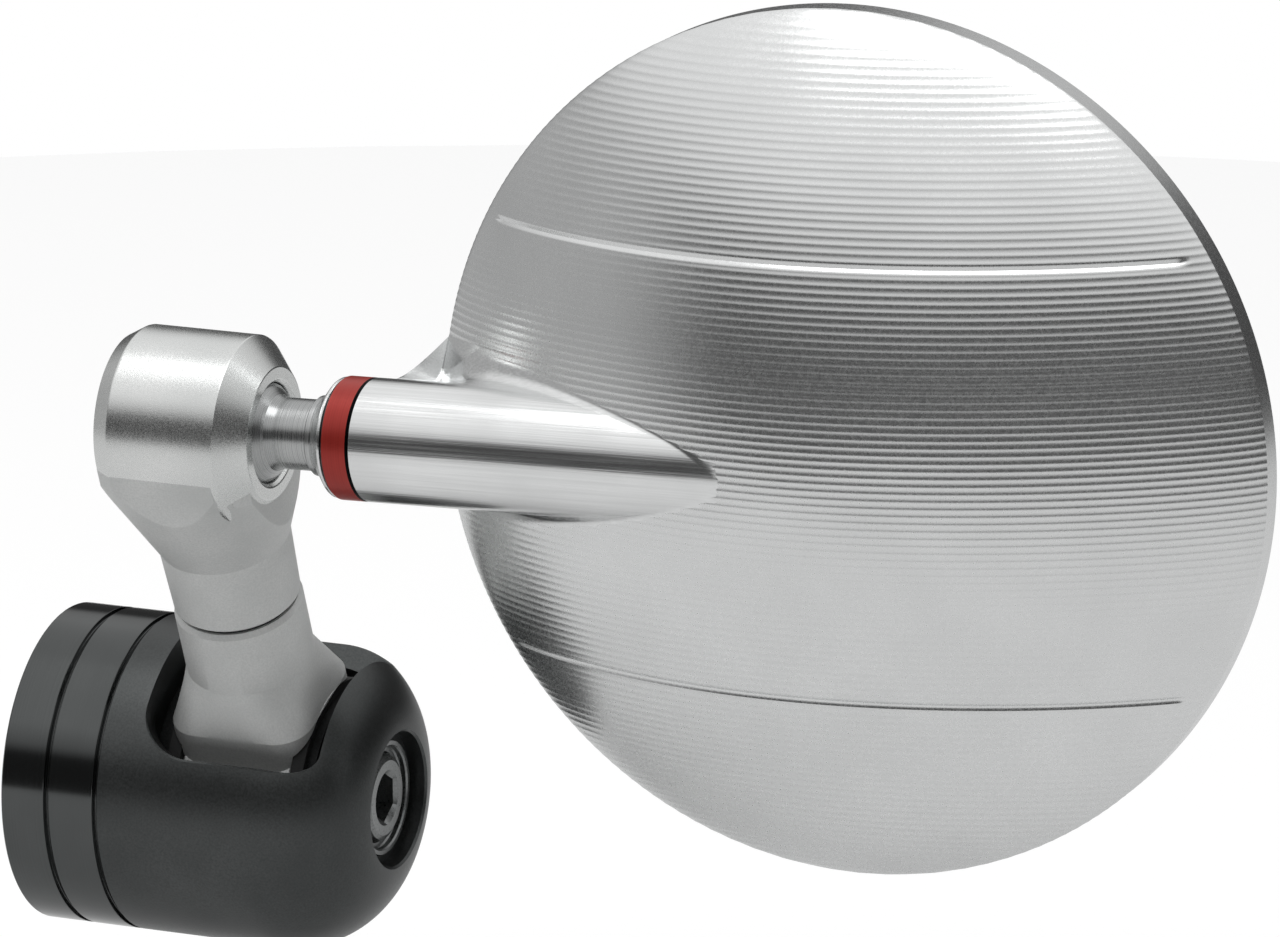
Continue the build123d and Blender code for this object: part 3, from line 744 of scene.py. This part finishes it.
    def screw(self) -> list[Sheet]:
        """Cap screw: head with a hexagon socket, a waisted shank and a short threaded end.

        The socket's wall is a hexagon, radius = flat / (2 cos(a mod 60 deg - 30 deg)), below a round
        mouth. The thread is a helix whose radius swings between root and crest,
        r = 3 - 0.3 * |2 f - 1| with f the share of one 1 mm pitch at that angle and place.

        Returns:
            Head and threaded shank.
        """
        face, r = self.head_face, self.head_r
        a = np.linspace(0, TURN, 192, endpoint=False)
        hexagon = self.hex_flat / 2 / np.cos((a % (TURN / 6)) - TURN / 12)
        under, wide, deep = self.head_under, self.mouth_r, face - self.socket_depth
        rows = [(under, 0.0), (under, r - 0.3), (under + 0.3, r), (face - 0.7, r), (face - 0.25, r - 0.25)]
        rows += [(face, r - 0.75), (face, wide), (face - 0.4, np.minimum(hexagon, wide)), (deep, hexagon), (deep, 0.0)]
        local = np.stack([polar(q, a, x) for x, q in rows])
        threaded = self.tip + self.thread
        x = np.concatenate([np.linspace(self.tip, threaded, 61), [threaded + 0.01, under + 0.1]])[:, None]
        b = np.linspace(0, TURN, 48, endpoint=False)[None, :]
        share = (x - b / TURN) % 1.0
        cut = self.thread_cut * np.abs(2 * share - 1)
        taper = (np.clip((x - self.tip) / self.lead, 0.0, 1.0) - 1) * self.lead
        shank_r = np.where(x > threaded, self.waist_r, self.thread_r - cut + taper)
        body = np.concatenate([polar(0, b, x[:1]), polar(shank_r, b, x), polar(0, b, x[-1:])])
        return [Sheet(BAR.place(local), loop_columns=True), Sheet(BAR.place(body), loop_columns=True)]

    def build(self, nodes: Nodes) -> None:
        """Makes the visible pieces and dresses the inner ones.

        Args:
            nodes: CAD nodes by name.
        """
        ring, gloss = FINISH.ring.build(BAR), "gloss_black_anodised"
        dress(weld("clamp_end_ring", [self.ring(0.0, self.end_ring)]), Body.CLAMP, "end_ring", ring)
        middle = weld("clamp_middle_ring", [self.ring(self.end_ring, self.middle_ring)])
        dress(middle, Body.CLAMP, "middle_ring", ring)
        housing = weld("slotted_housing", self.housing())
        dress(housing, Body.CLAMP, "clamp_housing", FINISH.housing.build(BAR))
        screw = FINISH.screw.build(BAR)
        dress(weld("cap_screw", self.screw()), Body.CLAMP, "clamp_screw", screw)
        dress(weld("nose_bush", [self.bush()]), Body.CLAMP, "pivot_bush", screw)
        dark, composite = FINISH.phosphate_and_shade.build(BAR), FINISH.composite.build(BAR)
        # Thrust discs and spring: dark phosphated steel, kept near black as painted shade for the shadow inside the
        # slot.
        for name in ("thrust_disc_in", "thrust_disc_out", "pivot_spring"):
            tint(nodes[name], dark)
        # Friction discs: dark composite, kept near black as painted shade for the shadow inside the slot.
        for name in ("friction_disc_in", "friction_disc_out"):
            tint(nodes[name], composite)


@dataclass
class Arm:
    """Lower arm on the bush and upper arm with the ball's socket."""

    half: float = 8.4
    corner: float = 4.0
    foot_top: float = 13.0
    foot_round: float = 18.6
    lower_r: float = 7.26
    lower_top: float = 26.7
    pocket_r: float = 13.3
    eye_r: float = 12.4
    eye_half: float = 6.7
    bush_r: float = 6.65
    upper_r: float = 7.1
    upper_start: float = 27.05
    upper_top: float = 35.5
    upper_top_r: float = 7.4
    flare_in: float = 27.0
    flare_out: float = 19.6
    socket_r: float = 10.54
    head_profile: tuple[tuple[float, float], ...] = (
        (17.56, 8.0), (17.56, 9.41), (19.57, 10.54), (32.11, 10.54), (34.94, 7.3),
        (34.94, 5.96), (34.54, 5.56), (34.30, 5.56), (32.90, 6.9), (32.90, 8.0),
    )
    head_cut: float = 0.08
    sides: tuple[tuple[float, float, float], ...] = ((0.753, 0.658, 11.2), (-0.49, 0.872, 12.34))
    side_out: float = 8.5
    side_in: float = 8.44
    saddle_r: float = 9.0
    chamfer_r: float = 10.14
    chamfer_fall: float = 1.145
    chamfer_start: float = 6.11
    spigot: tuple[float, float] = (17.1, 27.1)
    spigot_r: float = 4.5
    columns: int = 240

    def square(self, angle: np.ndarray) -> np.ndarray:
        """Radius of a rounded square in a direction.

        The direction is folded into one eighth. It meets the side at half / cos, unless that lies past
        the corner's start; there the radius solves the corner circle.

        Args:
            angle: Directions about the arm's axis.

        Returns:
            Radius in each direction.
        """
        c, s = np.abs(np.cos(angle)), np.abs(np.sin(angle))
        big, small = np.maximum(c, s), np.minimum(c, s)
        side = self.half / big
        inset = self.half - self.corner
        total = inset * (c + s)
        round_part = total + np.sqrt(np.clip(total**2 - 2 * inset**2 + self.corner**2, 0, None))
        return np.where(side * small <= inset, side, round_part)

    def foot(self) -> list[Sheet]:
        """Square foot, its turn into the round barrel, the tongue and the eye.

        At height s along the arm the outline is (1 - w) * square + w * circle, with w rising from 0 to
        1 between the foot's top and where it is round. Below, the foot ends on the discs' pocket, a
        cylinder about the bar: s = sqrt(pocket^2 - t^2), with t the distance across the bar.

        Returns:
            Body, tongue and eye.
        """
        a = np.linspace(0, TURN, self.columns, endpoint=False)
        square = self.square(a)
        low = np.sqrt(self.pocket_r**2 - (square * np.sin(a)) ** 2)
        rows = []
        for share in np.linspace(0.02, 1, 10):
            t = square * share * np.sin(a)
            rows.append((square * share, np.sqrt(self.pocket_r**2 - t**2)))
        for share in np.linspace(0.1, 1, 10):
            rows.append((square, low + share * (self.foot_top - low)))
        for w in np.linspace(0.06, 1, 16):
            rows.append(((1 - w) * square + w * self.lower_r, self.foot_top + w * (self.foot_round - self.foot_top)))
        r, top_s = self.lower_r, self.lower_top
        rows += [(r, top_s - 0.55), (r - 0.45, top_s), (0.0, top_s)]
        top = np.stack([polar(r, a, s) for r, s in rows])
        start = polar(0, a, np.array([[self.pocket_r]]))
        x = np.linspace(-self.eye_half, self.eye_half, 40)[:, None]
        inset = self.half - self.corner
        reach = inset + np.sqrt(self.corner**2 - np.clip(np.abs(x) - inset, 0, None) ** 2)
        t = reach * np.linspace(-1, 1, 48)[None, :]
        tongue_top = np.stack([x + 0 * t, t, np.sqrt(self.pocket_r**2 - t**2)], axis=-1)
        tongue_low = np.stack([x + 0 * t, t, 0 * t + 2.0], axis=-1)
        edge, low_r, high_r = 0.35, self.eye_r - 0.35, self.eye_r
        left, right = ARM_X - self.eye_half, ARM_X + self.eye_half
        eye = [(left, self.bush_r), (left, low_r), (left + edge, high_r)]
        eye += [(right - edge, high_r), (right, low_r), (right, self.bush_r)]
        tongue = [Sheet(ARM.place(sheet.points)) for sheet in slab(tongue_top, tongue_low)]
        body = Sheet(ARM.place(np.concatenate([start, top])), loop_columns=True)
        return [body, *tongue, turned(eye, BAR, 192)]

    def envelope(self, angle: np.ndarray) -> np.ndarray:
        """Distance from the arm axis to the head's outline seen along the arm: the least d / (n . direction).

        Args:
            angle: Directions about the arm's axis.

        Returns:
            Distance in each direction.
        """
        flat = [(1.0, 0.0, self.side_out), (-1.0, 0.0, self.side_in)]
        flat += [(0.0, 1.0, self.socket_r), (0.0, -1.0, self.socket_r)]
        best = np.full(angle.shape, 99.0)
        for nx, ny, d in flat + [(nx, sign * ny, d) for nx, ny, d in self.sides for sign in (1, -1)]:
            facing = nx * np.cos(angle) + ny * np.sin(angle)
            best = np.where(facing > 1e-6, np.minimum(best, d / np.maximum(facing, 1e-6)), best)
        return best

    def stem_radius(self, s: np.ndarray, angle: np.ndarray) -> np.ndarray:
        """Radius of the upper arm: a slow taper, then a flare, held inside the head's outline.

        The flare is an ellipse, 1 / sqrt((cos a / wide)^2 + (sin a / deep)^2). It is wider on the
        inboard side than at its front and on the outboard side.

        Args:
            s: Height along the arm.
            angle: Directions about the arm's axis.

        Returns:
            Radius at each height and direction.
        """
        share = np.clip((s - self.upper_start) / (self.upper_top - self.upper_start), 0, 1)
        barrel = self.upper_r + (self.upper_top_r - self.upper_r) * share
        rise = np.clip(s - self.upper_top, 0, None)
        deep = barrel + rise * np.tan(np.radians(self.flare_out))
        wide = np.where(np.cos(angle) < 0, barrel + rise * np.tan(np.radians(self.flare_in)), deep)
        oval = 1 / np.sqrt((np.cos(angle) / wide) ** 2 + (np.sin(angle) / deep) ** 2)
        return np.minimum(oval, self.envelope(angle))

    def saddle(self, radius: np.ndarray, angle: np.ndarray) -> np.ndarray:
        """Height of the hidden saddle, 50.4 - sqrt(q^2 - t^2), q inside the head's wall and chamfer.

        Args:
            radius: Distance from the arm's axis.
            angle: Directions about it.

        Returns:
            Height at each point.
        """
        along, t = radius * np.cos(angle), radius * np.sin(angle)
        q = np.minimum(self.saddle_r, self.chamfer_r - self.chamfer_fall * np.clip(along - self.chamfer_start, 0, None))
        return HEAD_S - np.sqrt(np.clip(q**2 - t**2, 0, None))

    def stem(self) -> list[Sheet]:
        """Upper barrel and flare up to a saddle hidden in the head's wall, and the spigot below.

        Each column's end is found by repeating s = saddle(radius(s)) a few times.

        Returns:
            Barrel with its flare, and the spigot.
        """
        a = np.linspace(0, TURN, 600, endpoint=False)
        end = np.full(a.shape, HEAD_S)
        for _ in range(12):
            end = self.saddle(self.stem_radius(end, a), a)
        rows = [(0.0, self.upper_start), (self.upper_r - 0.4, self.upper_start)]
        for s in np.linspace(self.upper_start + 0.4, self.upper_top, 14):
            rows.append((self.stem_radius(s, a), s))
        for w in np.linspace(0.01, 1, 90):
            s = self.upper_top + w * (end - self.upper_top)
            rows.append((self.stem_radius(s, a), s))
        rim = self.stem_radius(end, a)
        for w in np.linspace(0.9, 0.0, 10):
            rows.append((rim * w, self.saddle(rim * w, a)))
        body = np.stack([polar(r, a, s) for r, s in rows])
        low, high = self.spigot
        spigot = [(low, 0.0), (low, self.spigot_r), (high, self.spigot_r), (high, 0.0)]
        return [Sheet(ARM.place(body), loop_columns=True), turned(spigot, ARM, 96, closed=False)]

    def socket(self) -> Sheet:
        """Turned head with its bore, lip and mouth."""
        return turned(soft_corners(list(self.head_profile), self.head_cut), HEAD, 320)

    def build(self, nodes: Nodes) -> None:
        """Makes both arm pieces and dresses the small parts.

        Args:
            nodes: CAD nodes by name.
        """
        satin = FINISH.arm.build(ARM)
        dress(weld("lower_arm_piece", self.foot()), Body.LOWER_ARM, "arm_foot", satin)
        dress(weld("upper_arm_stem", self.stem()), Body.UPPER_ARM, "arm_head", satin)
        head = weld("turned_head", [self.socket()])
        dress(head, Body.UPPER_ARM, "arm_head", FINISH.head.build(HEAD))
        tint(nodes["tension_plug"], FINISH.arm.build(HEAD))
        tint(nodes["swivel_grub"], FINISH.screw.build(ARM))
        tint(nodes["swivel_pad"], FINISH.rubber.build(ARM))
        spring = FINISH.spring.build(HEAD)
        for name in ("disc_spring_a", "disc_spring_b"):
            tint(nodes[name], spring)
        acetal = FINISH.acetal.build(HEAD)
        for name in ("ball_seat_front", "ball_seat_rear"):
            tint(nodes[name], acetal)


@dataclass
class Sleeve:
    """Ball stud, seal, end cap and coloured ring, turned about the stud's axis."""

    ball_r: float = 7.0
    neck_r: float = 3.9
    flare_r: float = 4.2
    flare_length: float = 1.2
    neck_end: float = 11.6
    seal: tuple[float, float, float] = (10.65, 11.55, 4.4)
    stud_r: float = 3.0
    stud_end: float = 30.0
    cap_end: float = 13.6
    cap_r: float = 6.6
    red_end: float = 17.0
    black_edge: float = 0.3
    radius: float = 6.75

    def stud(self) -> Sheet:
        """Ball, a short flare into the neck, the neck and the plain end.

        Returns:
            The closed stud.
        """
        start = np.degrees(np.arcsin(self.flare_r / self.ball_r))
        ball = arc((0, 0), self.ball_r, 180, start, 60)
        w = np.linspace(0, 1, 10)[1:]
        first = self.ball_r * np.cos(np.radians(start))
        flare_r = self.neck_r + (self.flare_r - self.neck_r) * (1 - w) ** 2
        flare = np.stack([first + self.flare_length * w, flare_r], axis=1)
        neck, end, r = self.neck_end, self.stud_end, self.stud_r
        rest = [(neck - 0.1, self.neck_r), (neck, self.neck_r - 0.1)]
        rest += [(neck, r), (end - 0.6, r), (end, r - 0.6), (end, 0.0)]
        return turned(np.concatenate([ball, flare, rest]), STUD, 160, closed=False)

    def neck_ring(self) -> Sheet:
        """Plain ring round the neck, with cut corners.

        Returns:
            The closed ring.
        """
        start, end, r = self.seal
        bore = self.neck_r + 0.05
        return turned(soft_corners([(start, bore), (start, r), (end, r), (end, bore)], 0.1), STUD, 192)

    def cap(self) -> Sheet:
        """Cone with a narrow bright rim.

        Returns:
            The closed cone.
        """
        start, end, low, high = self.neck_end, self.cap_end, self.stud_r, self.cap_r
        profile = [(start, low), (start, 4.6), (end - 0.35, high), (end, high), (end, low)]
        return turned(soft_corners(profile, 0.08), STUD, 192)

    def accent(self) -> bpy.types.Object:
        """Plain coloured ring; its chamfered edges take the black finish.

        Returns:
            The welded ring.
        """
        e, start, end, r = self.black_edge, self.cap_end, self.red_end, self.radius
        profile = [(start, self.stud_r), (start, r - e), (start + e, r), (end - e, r), (end, r - e), (end, self.stud_r)]
        return weld("coloured_ring", [turned(profile, STUD, 192)])

    def build(self, nodes: Nodes) -> None:
        """Makes the four turned pieces.

        Args:
            nodes: CAD nodes by name; not used here.
        """
        steel = FINISH.steel.build(STUD)
        dress(weld("ball_and_neck", [self.stud()]), Body.MIRROR, "ball_stud", steel)
        seal = weld("neck_ring", [self.neck_ring()])
        dress(seal, Body.COLLAR, "neck_seal", steel)
        cone = weld("end_cone", [self.cap()])
        dress(cone, Body.MIRROR, "sleeve_end_cap", FINISH.sleeve.build(STUD))
        accent = self.accent()
        dress(accent, Body.MIRROR, "accent_ring", FINISH.accent.build(STUD))
        accent.data.materials.append(FINISH.edge.build(STUD))
        centres = np.empty(len(accent.data.polygons) * 3)
        accent.data.polygons.foreach_get("center", centres)
        away = centres.reshape(-1, 3) / MM - BALL
        along = away @ STUD_X
        inside = self.black_edge - 0.05
        edge = (along < self.cap_end + inside) | (along > self.red_end - inside)
        accent.data.polygons.foreach_set("material_index", edge.astype(np.int32))


@dataclass
class MirrorDisc:
    """Milled dome, its sleeve and fillets, the rim and the glass."""

    radius: float = 47.6
    height: float = 19.2
    flat: float = 1.84
    edge: float = 0.83
    rim: float = 3.14
    wall: float = 1.9
    ledge: float = 0.2
    pitch: float = 0.82
    cusp: float = 0.034
    groove_up: float = 23.1
    groove_down: float = -24.2
    groove_half: float = 0.42
    groove_depth: float = 0.2
    groove_end: float = 45.4
    sleeve_r: float = 6.75
    sleeve_z: float = DISC_DEPTH
    sleeve_start: float = 17.0 - DISC_REACH
    sleeve_end: float = -5.0
    passes: int = 7
    columns: int = 96
    fillet_places: tuple[float, ...] = (-46.8, -45.0, -42.2, -38.7, -33.8, -29.2, -23.4, -18.0, -11.6, -7.2)
    fillet_reach: tuple[float, ...] = (9.0, 9.36, 9.61, 9.53, 8.99, 8.3, 7.08, 5.72, 3.6, 2.3)
    web_start: float = -50.2
    web_ease: float = 2.6
    web_rows: int = 70
    fillet_rows: int = 160
    fillet_columns: int = 28
    dome_crease: float = 28.0
    fillet_crease: float = 40.0

    def dome(self, r: np.ndarray) -> np.ndarray:
        """Height above the rim: H * (1 - (r / R)^flat)^edge."""
        return self.height * (1 - np.clip(r / self.radius, 0, 1) ** self.flat) ** self.edge

    def slope(self, r: np.ndarray) -> np.ndarray:
        """Fall of the dome per millimetre outwards, from a small step either way.

        Args:
            r: Distance from the disc's axis.

        Returns:
            Slope at each distance.
        """
        step = 0.01
        inside = np.clip(r, step, self.radius - 2 * step)
        return (self.dome(inside - step) - self.dome(inside + step)) / (2 * step)

    def milled(self) -> list[Sheet]:
        """Dome cut in straight passes.

        A row is one place v across the passes, and a column one share q of the row's half-length, so
        the point is (q * sqrt(R^2 - v^2), v, dome). Each is pushed out along the dome's normal by
        cusp * (2 f - 1)^2, with f the share of one pass, and pulled in by depth * (1 - |v - g| / half)
        inside a groove at g, faded where the groove runs out.

        Returns:
            The cut dome and the skirt below it.
        """
        count = int(round(2 * self.radius / self.pitch))
        v = np.linspace(-self.radius, self.radius, count * self.passes + 1)[:, None]
        q = np.sin(np.radians(np.linspace(-90, 90, self.columns)))[None, :]
        half = np.sqrt(np.clip(self.radius**2 - v**2, 0, None))
        u = q * half
        r = np.minimum(np.hypot(u, v + 0 * u), self.radius)
        slope = self.slope(r)
        length = np.sqrt(1 + slope**2)
        safe = np.maximum(r, 1e-6)
        normal = np.stack([slope * u / safe, slope * v / safe, 1 + 0 * r], axis=-1) / length[..., None]
        share = ((v + self.radius) / self.pitch) % 1.0
        push = self.cusp * (2 * share - 1) ** 2 + 0 * u
        for place in (self.groove_up, self.groove_down):
            reach = np.sqrt(self.groove_end**2 - place**2)
            end = np.clip((reach + self.groove_half - np.abs(u)) / self.groove_half, 0, 1)
            width = self.groove_half * np.sqrt(1 - (1 - end) ** 2)
            depth = np.clip(1 - np.abs(v - place) / np.maximum(width, 1e-6), 0, 1)
            inside = depth > 0
            push = np.where(inside, -self.groove_depth * depth * width / self.groove_half, push)
        base = np.stack([u, v + 0 * u, self.dome(r)], axis=-1)
        points = base + push[..., None] * normal
        rim = np.concatenate([points[:, 0], points[::-1, -1]])
        centre = np.zeros_like(rim)
        lowered = rim * np.array([1.0, 1.0, 0.0])
        skirt = np.stack([rim, lowered, centre])
        return [Sheet(DISC.place(points)), Sheet(DISC.place(skirt), loop_columns=True)]

    def rim_ring(self) -> Sheet:
        """Straight rim with the step that takes the glass.

        Returns:
            The closed rim.
        """
        r, low, inner = self.radius, -self.rim, self.radius - self.wall
        outside = [(0.0, inner - 3.2), (0.0, r - 0.02), (low + 0.25, r), (low, r - 0.25)]
        profile = [*outside, (low, inner), (-self.ledge, inner), (-self.ledge, inner - 3.2)]
        return turned(profile, DISC, 384)

    def cylinder(self) -> Sheet:
        """Sleeve from its end face into the dome.

        Returns:
            The closed sleeve.
        """
        r, start, end = self.sleeve_r, self.sleeve_start, self.sleeve_end
        profile = np.array([(start, 0.0), (start, r - 0.12), (start + 0.12, r), (end, r), (end, 0.0)])
        share = np.linspace(0, 4, 161)
        along, radius = (np.interp(share, range(5), profile[:, column]) for column in (0, 1))
        axis = Frame(tuple(DISC.place(np.array([0, 0, self.sleeve_z]))), DISC.y, DISC.z, DISC.x)
        return turned(np.stack([along, radius], axis=1), axis, 192, closed=False)

    def fillet(self, side: int) -> list[Sheet]:
        """Concave fillet between the sleeve and the dome, which runs out past the rim as a small web.

        At each place u it meets the dome at D, a set distance from the sleeve's middle, along the
        dome's own slope. It meets the sleeve at S = (6.75 cos b, 12 + 6.75 sin b), along the circle.
        The two tangents cross at C, b is the angle that makes |DC| = |SC|, found in a table of angles
        and a share of one step past the best, and the curve is (1 - w)^2 D + 2 w (1 - w) C + w^2 S.
        Outside the rim D draws up to S.

        Args:
            side: 1 above the sleeve, -1 below it.

        Returns:
            A closed wedge whose hidden edge lies inside both solids.
        """
        first, last = self.fillet_places[0], self.fillet_places[-1]
        web = np.linspace(self.web_start, first, self.web_rows)
        u = np.concatenate([web, np.linspace(first, last, self.fillet_rows)[1:]])
        held = np.maximum(u, first)
        reach = np.interp(held, self.fillet_places, self.fillet_reach)
        r = np.hypot(held, reach)
        dome_point = np.stack([reach, self.dome(r)], axis=1)
        dome_way = np.stack([-np.ones_like(r), self.slope(r) * reach / r], axis=1)
        b = np.radians(np.linspace(-70, 88, 1600))[None, :]
        sleeve_y, sleeve_z = self.sleeve_r * np.cos(b), self.sleeve_z + self.sleeve_r * np.sin(b)
        gap_y, gap_z = sleeve_y - dome_point[:, :1], sleeve_z - dome_point[:, 1:]
        way_y, way_z = np.sin(b), -np.cos(b)
        cross = dome_way[:, :1] * way_z - dome_way[:, 1:] * way_y
        cross = np.where(np.abs(cross) < 1e-6, 1e-6, cross)
        from_dome = (gap_y * way_z - gap_z * way_y) / cross * np.hypot(dome_way[:, :1], dome_way[:, 1:])
        from_sleeve = -(dome_way[:, :1] * gap_z - dome_way[:, 1:] * gap_y) / cross
        error = np.where((from_dome > 0) & (from_sleeve > 0), np.abs(from_dome - from_sleeve), 99.0)
        best = np.clip(error.argmin(axis=1), 1, b.size - 2)
        rows = np.arange(u.size)
        near = (from_dome - from_sleeve)[rows[:, None], best[:, None] + np.array([-1, 0, 1])]
        step = np.clip(-near[:, 1] * 2 / (near[:, 2] - near[:, 0]), -1, 1)

        def between(table: np.ndarray) -> np.ndarray:
            """Value a fraction of a step away from the best column."""
            return table[rows, best] + step * (table[rows, best + 1] - table[rows, best - 1]) / 2

        run = between(from_dome)[:, None] / np.linalg.norm(dome_way, axis=1, keepdims=True)
        crossing = dome_point + run * dome_way
        circle = (np.broadcast_to(value, from_dome.shape) for value in (sleeve_y, sleeve_z))
        on_sleeve = np.stack([between(table) for table in circle], axis=1)
        fade = np.clip((u - self.web_start) / (first - self.web_start), 0, 1)[:, None] ** self.web_ease
        start, middle = on_sleeve + fade * (dome_point - on_sleeve), on_sleeve + fade * (crossing - on_sleeve)
        w = np.linspace(0, 1, self.fillet_columns)[None, :, None]
        curve = (1 - w) ** 2 * start[:, None] + 2 * w * (1 - w) * middle[:, None] + w**2 * on_sleeve[:, None]
        patch = np.concatenate([np.broadcast_to(u[:, None, None], curve.shape[:2] + (1,)), curve], axis=2)
        across, height = ((start[:, axis] + on_sleeve[:, axis]) / 2 for axis in (0, 1))
        inner = np.stack([u, 0.6 * across, height - 1.5 * fade[:, 0]], axis=1)
        hidden = np.repeat(inner[:, None], patch.shape[1], axis=1)
        flip = np.array([1.0, float(side), 1.0])
        return [Sheet(DISC.place(sheet.points * flip)) for sheet in slab(patch, hidden)]

    def glass(self) -> Sheet:
        """Round glass with a ground bevel.

        Returns:
            The closed glass.
        """
        r = self.radius - self.wall - 0.05
        back = -(self.rim - 0.14)
        profile = [(back, 0.0), (back, r - 0.35), (back + 0.35, r), (back + 2.0, r), (back + 2.0, 0.0)]
        return turned(profile, DISC, 320, closed=False)

    def build(self, nodes: Nodes) -> None:
        """Makes the billet as one piece of two finishes, and the glass.

        Args:
            nodes: CAD nodes by name.
        """
        shell = weld("milled_dome", [*self.milled(), self.rim_ring()], self.dome_crease)
        dress(shell, Body.MIRROR, "mirror_shell", FINISH.dome.build(DISC))
        sleeve = weld("polished_sleeve", [self.cylinder(), *self.fillet(1), *self.fillet(-1)], self.fillet_crease)
        dress(sleeve, Body.MIRROR, "mirror_shell", FINISH.sleeve.build(STUD))
        glass = weld("round_glass", [self.glass()])
        dress(glass, Body.MIRROR, "mirror_glass", FINISH.glass.build(DISC))
        tint(nodes["glass_pad"], FINISH.rubber.build(DISC))


@dataclass
class Studio:
    """White floor, soft white surround with a dark band at eye level, a lamp and the camera.

    Lengths are in millimetres, apart from the lamp's, which are in metres.
    """

    floor_x: float = 60.0
    floor_z: float = -50.0
    floor_r: float = 560.0
    azimuth: float = 22.13
    elevation: float = 15.01
    distance: float = 900.0
    target: tuple[float, float, float] = (69.89, 0.0, 41.3)
    focal_px: float = 8226.0
    width_px: float = 1280.0
    sensor_mm: float = 36.0
    side_span: tuple[float, float] = (-0.62, -0.86)
    side_level: float = 0.42
    stops: tuple[tuple[float, float], ...] = (
        (0.0, 0.7), (0.405, 0.7), (0.425, 0.06), (0.65, 0.06), (0.70, 0.55), (0.80, 0.9), (1.0, 0.9)
    )
    floor_lift: float = 0.31
    lamp_watts: float = 4.0
    lamp_size: tuple[float, float] = (0.9, 0.6)
    lamp_place: tuple[float, float, float] = (0.05, -0.25, 1.1)
    lamp_tilt: float = -13.0

    def camera(self) -> None:
        """Places the camera on the line back from the target at the photograph's angles."""
        a, e = np.radians(self.azimuth), np.radians(self.elevation)
        back = np.array([np.sin(a) * np.cos(e), -np.cos(a) * np.cos(e), np.sin(e)])
        right = np.array([np.cos(a), np.sin(a), 0.0])
        up = np.cross(back, right)
        place = (np.array(self.target) + self.distance * back) * MM
        data = bpy.data.cameras.new("studio_camera")
        data.sensor_width = self.sensor_mm
        data.lens = self.focal_px / self.width_px * self.sensor_mm
        data.clip_start, data.clip_end = 0.01, 50.0
        camera = bpy.data.objects.new("studio_camera", data)
        rows = [[right[i], up[i], back[i], place[i]] for i in range(3)]
        camera.matrix_world = Matrix([*rows, [0, 0, 0, 1]])
        bpy.context.scene.collection.objects.link(camera)
        bpy.context.scene.camera = camera

    def world(self) -> None:
        """Lights the scene from a white surround whose band at eye level is dark.

        The band gives bright metal its dark streak. A pale wall on the inboard side breaks it there.
        Camera rays see plain white.
        """
        world = bpy.data.worlds.new("studio_surround")
        bpy.context.scene.world = world
        tree = empty_tree(world)
        direction = add_node(tree, "TexCoord").outputs["Generated"]
        split = add_node(tree, "SeparateXYZ", None, {0: direction}).outputs
        side = remap(tree, split["X"], self.side_span, (0.0, self.side_level))
        ramp = add_node(tree, "ValToRGB", None, {"Fac": remap(tree, split["Z"], (-1.0, 1.0))})
        elements = ramp.color_ramp.elements
        while len(elements) < len(self.stops):
            elements.new(0.5)
        for element, (place, level) in zip(elements, self.stops):
            element.position = place
            element.color = (level, level, level, 1.0)
        level = math_node(tree, "MAXIMUM", ramp.outputs["Color"], side)
        path = add_node(tree, "LightPath").outputs
        white = math_node(tree, "MAXIMUM", path["Is Camera Ray"], path["Is Transmission Ray"])
        colour = blend(tree, white, level, WHITE)
        surround = add_node(tree, "Background", None, {"Color": colour, "Strength": 1.0})
        add_node(tree, "OutputWorld", None, {"Surface": surround.outputs[0]})

    def floor(self) -> None:
        """Round pale floor, a flat grid of rings."""
        a = np.linspace(0, TURN, 96, endpoint=False)[None, :]
        r = np.linspace(0, self.floor_r, 24)[:, None]
        points = polar(r, a, self.floor_z) + np.array([self.floor_x, 0.0, 0.0])
        mesh = bpy.data.meshes.new("pale_floor")
        faces = Sheet(points, loop_columns=True).faces(0)
        mesh.from_pydata((points.reshape(-1, 3) * MM).tolist(), [], faces.tolist())
        floor = bpy.data.objects.new("pale_floor", mesh)
        bpy.context.scene.collection.objects.link(floor)
        material = bpy.data.materials.new("matt_white_floor")
        tree = empty_tree(material)
        matt = add_node(tree, "BsdfDiffuse", None, {"Color": srgb("#DEDEDE")})
        seen = add_node(tree, "LightPath").outputs["Is Camera Ray"]
        lift = math_node(tree, "MULTIPLY", seen, self.floor_lift)
        glow = add_node(tree, "Emission", None, {"Color": WHITE, "Strength": lift})
        total = add_node(tree, "AddShader", None, {0: matt.outputs[0], 1: glow.outputs[0]})
        add_node(tree, "OutputMaterial", None, {"Surface": total.outputs[0]})
        floor.data.materials.append(material)

    def lamps(self) -> None:
        """One large soft lamp above, a little towards the dome side."""
        data = bpy.data.lights.new("overhead_softbox", "AREA")
        data.shape = "RECTANGLE"
        data.size, data.size_y = self.lamp_size
        data.energy = self.lamp_watts
        lamp = bpy.data.objects.new("overhead_softbox", data)
        lamp.location = self.lamp_place
        lamp.rotation_euler = (np.radians(self.lamp_tilt), 0.0, 0.0)
        bpy.context.scene.collection.objects.link(lamp)

    def build(self) -> None:
        """Makes the camera, the surround, the floor and the lamp."""
        bpy.context.scene.view_settings.view_transform = "Standard"
        self.camera()
        self.world()
        self.floor()
        self.lamps()


def main() -> None:
    """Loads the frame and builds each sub-assembly in order."""
    logging.basicConfig(level=logging.INFO, format="%(message)s")
    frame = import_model()
    nodes = frame["nodes"]
    Studio().build()
    for part in (Clamp(), Arm(), Sleeve(), MirrorDisc()):
        LOG.info("building %s", type(part).__name__)
        part.build(nodes)


if __name__ == "__main__":
    main()
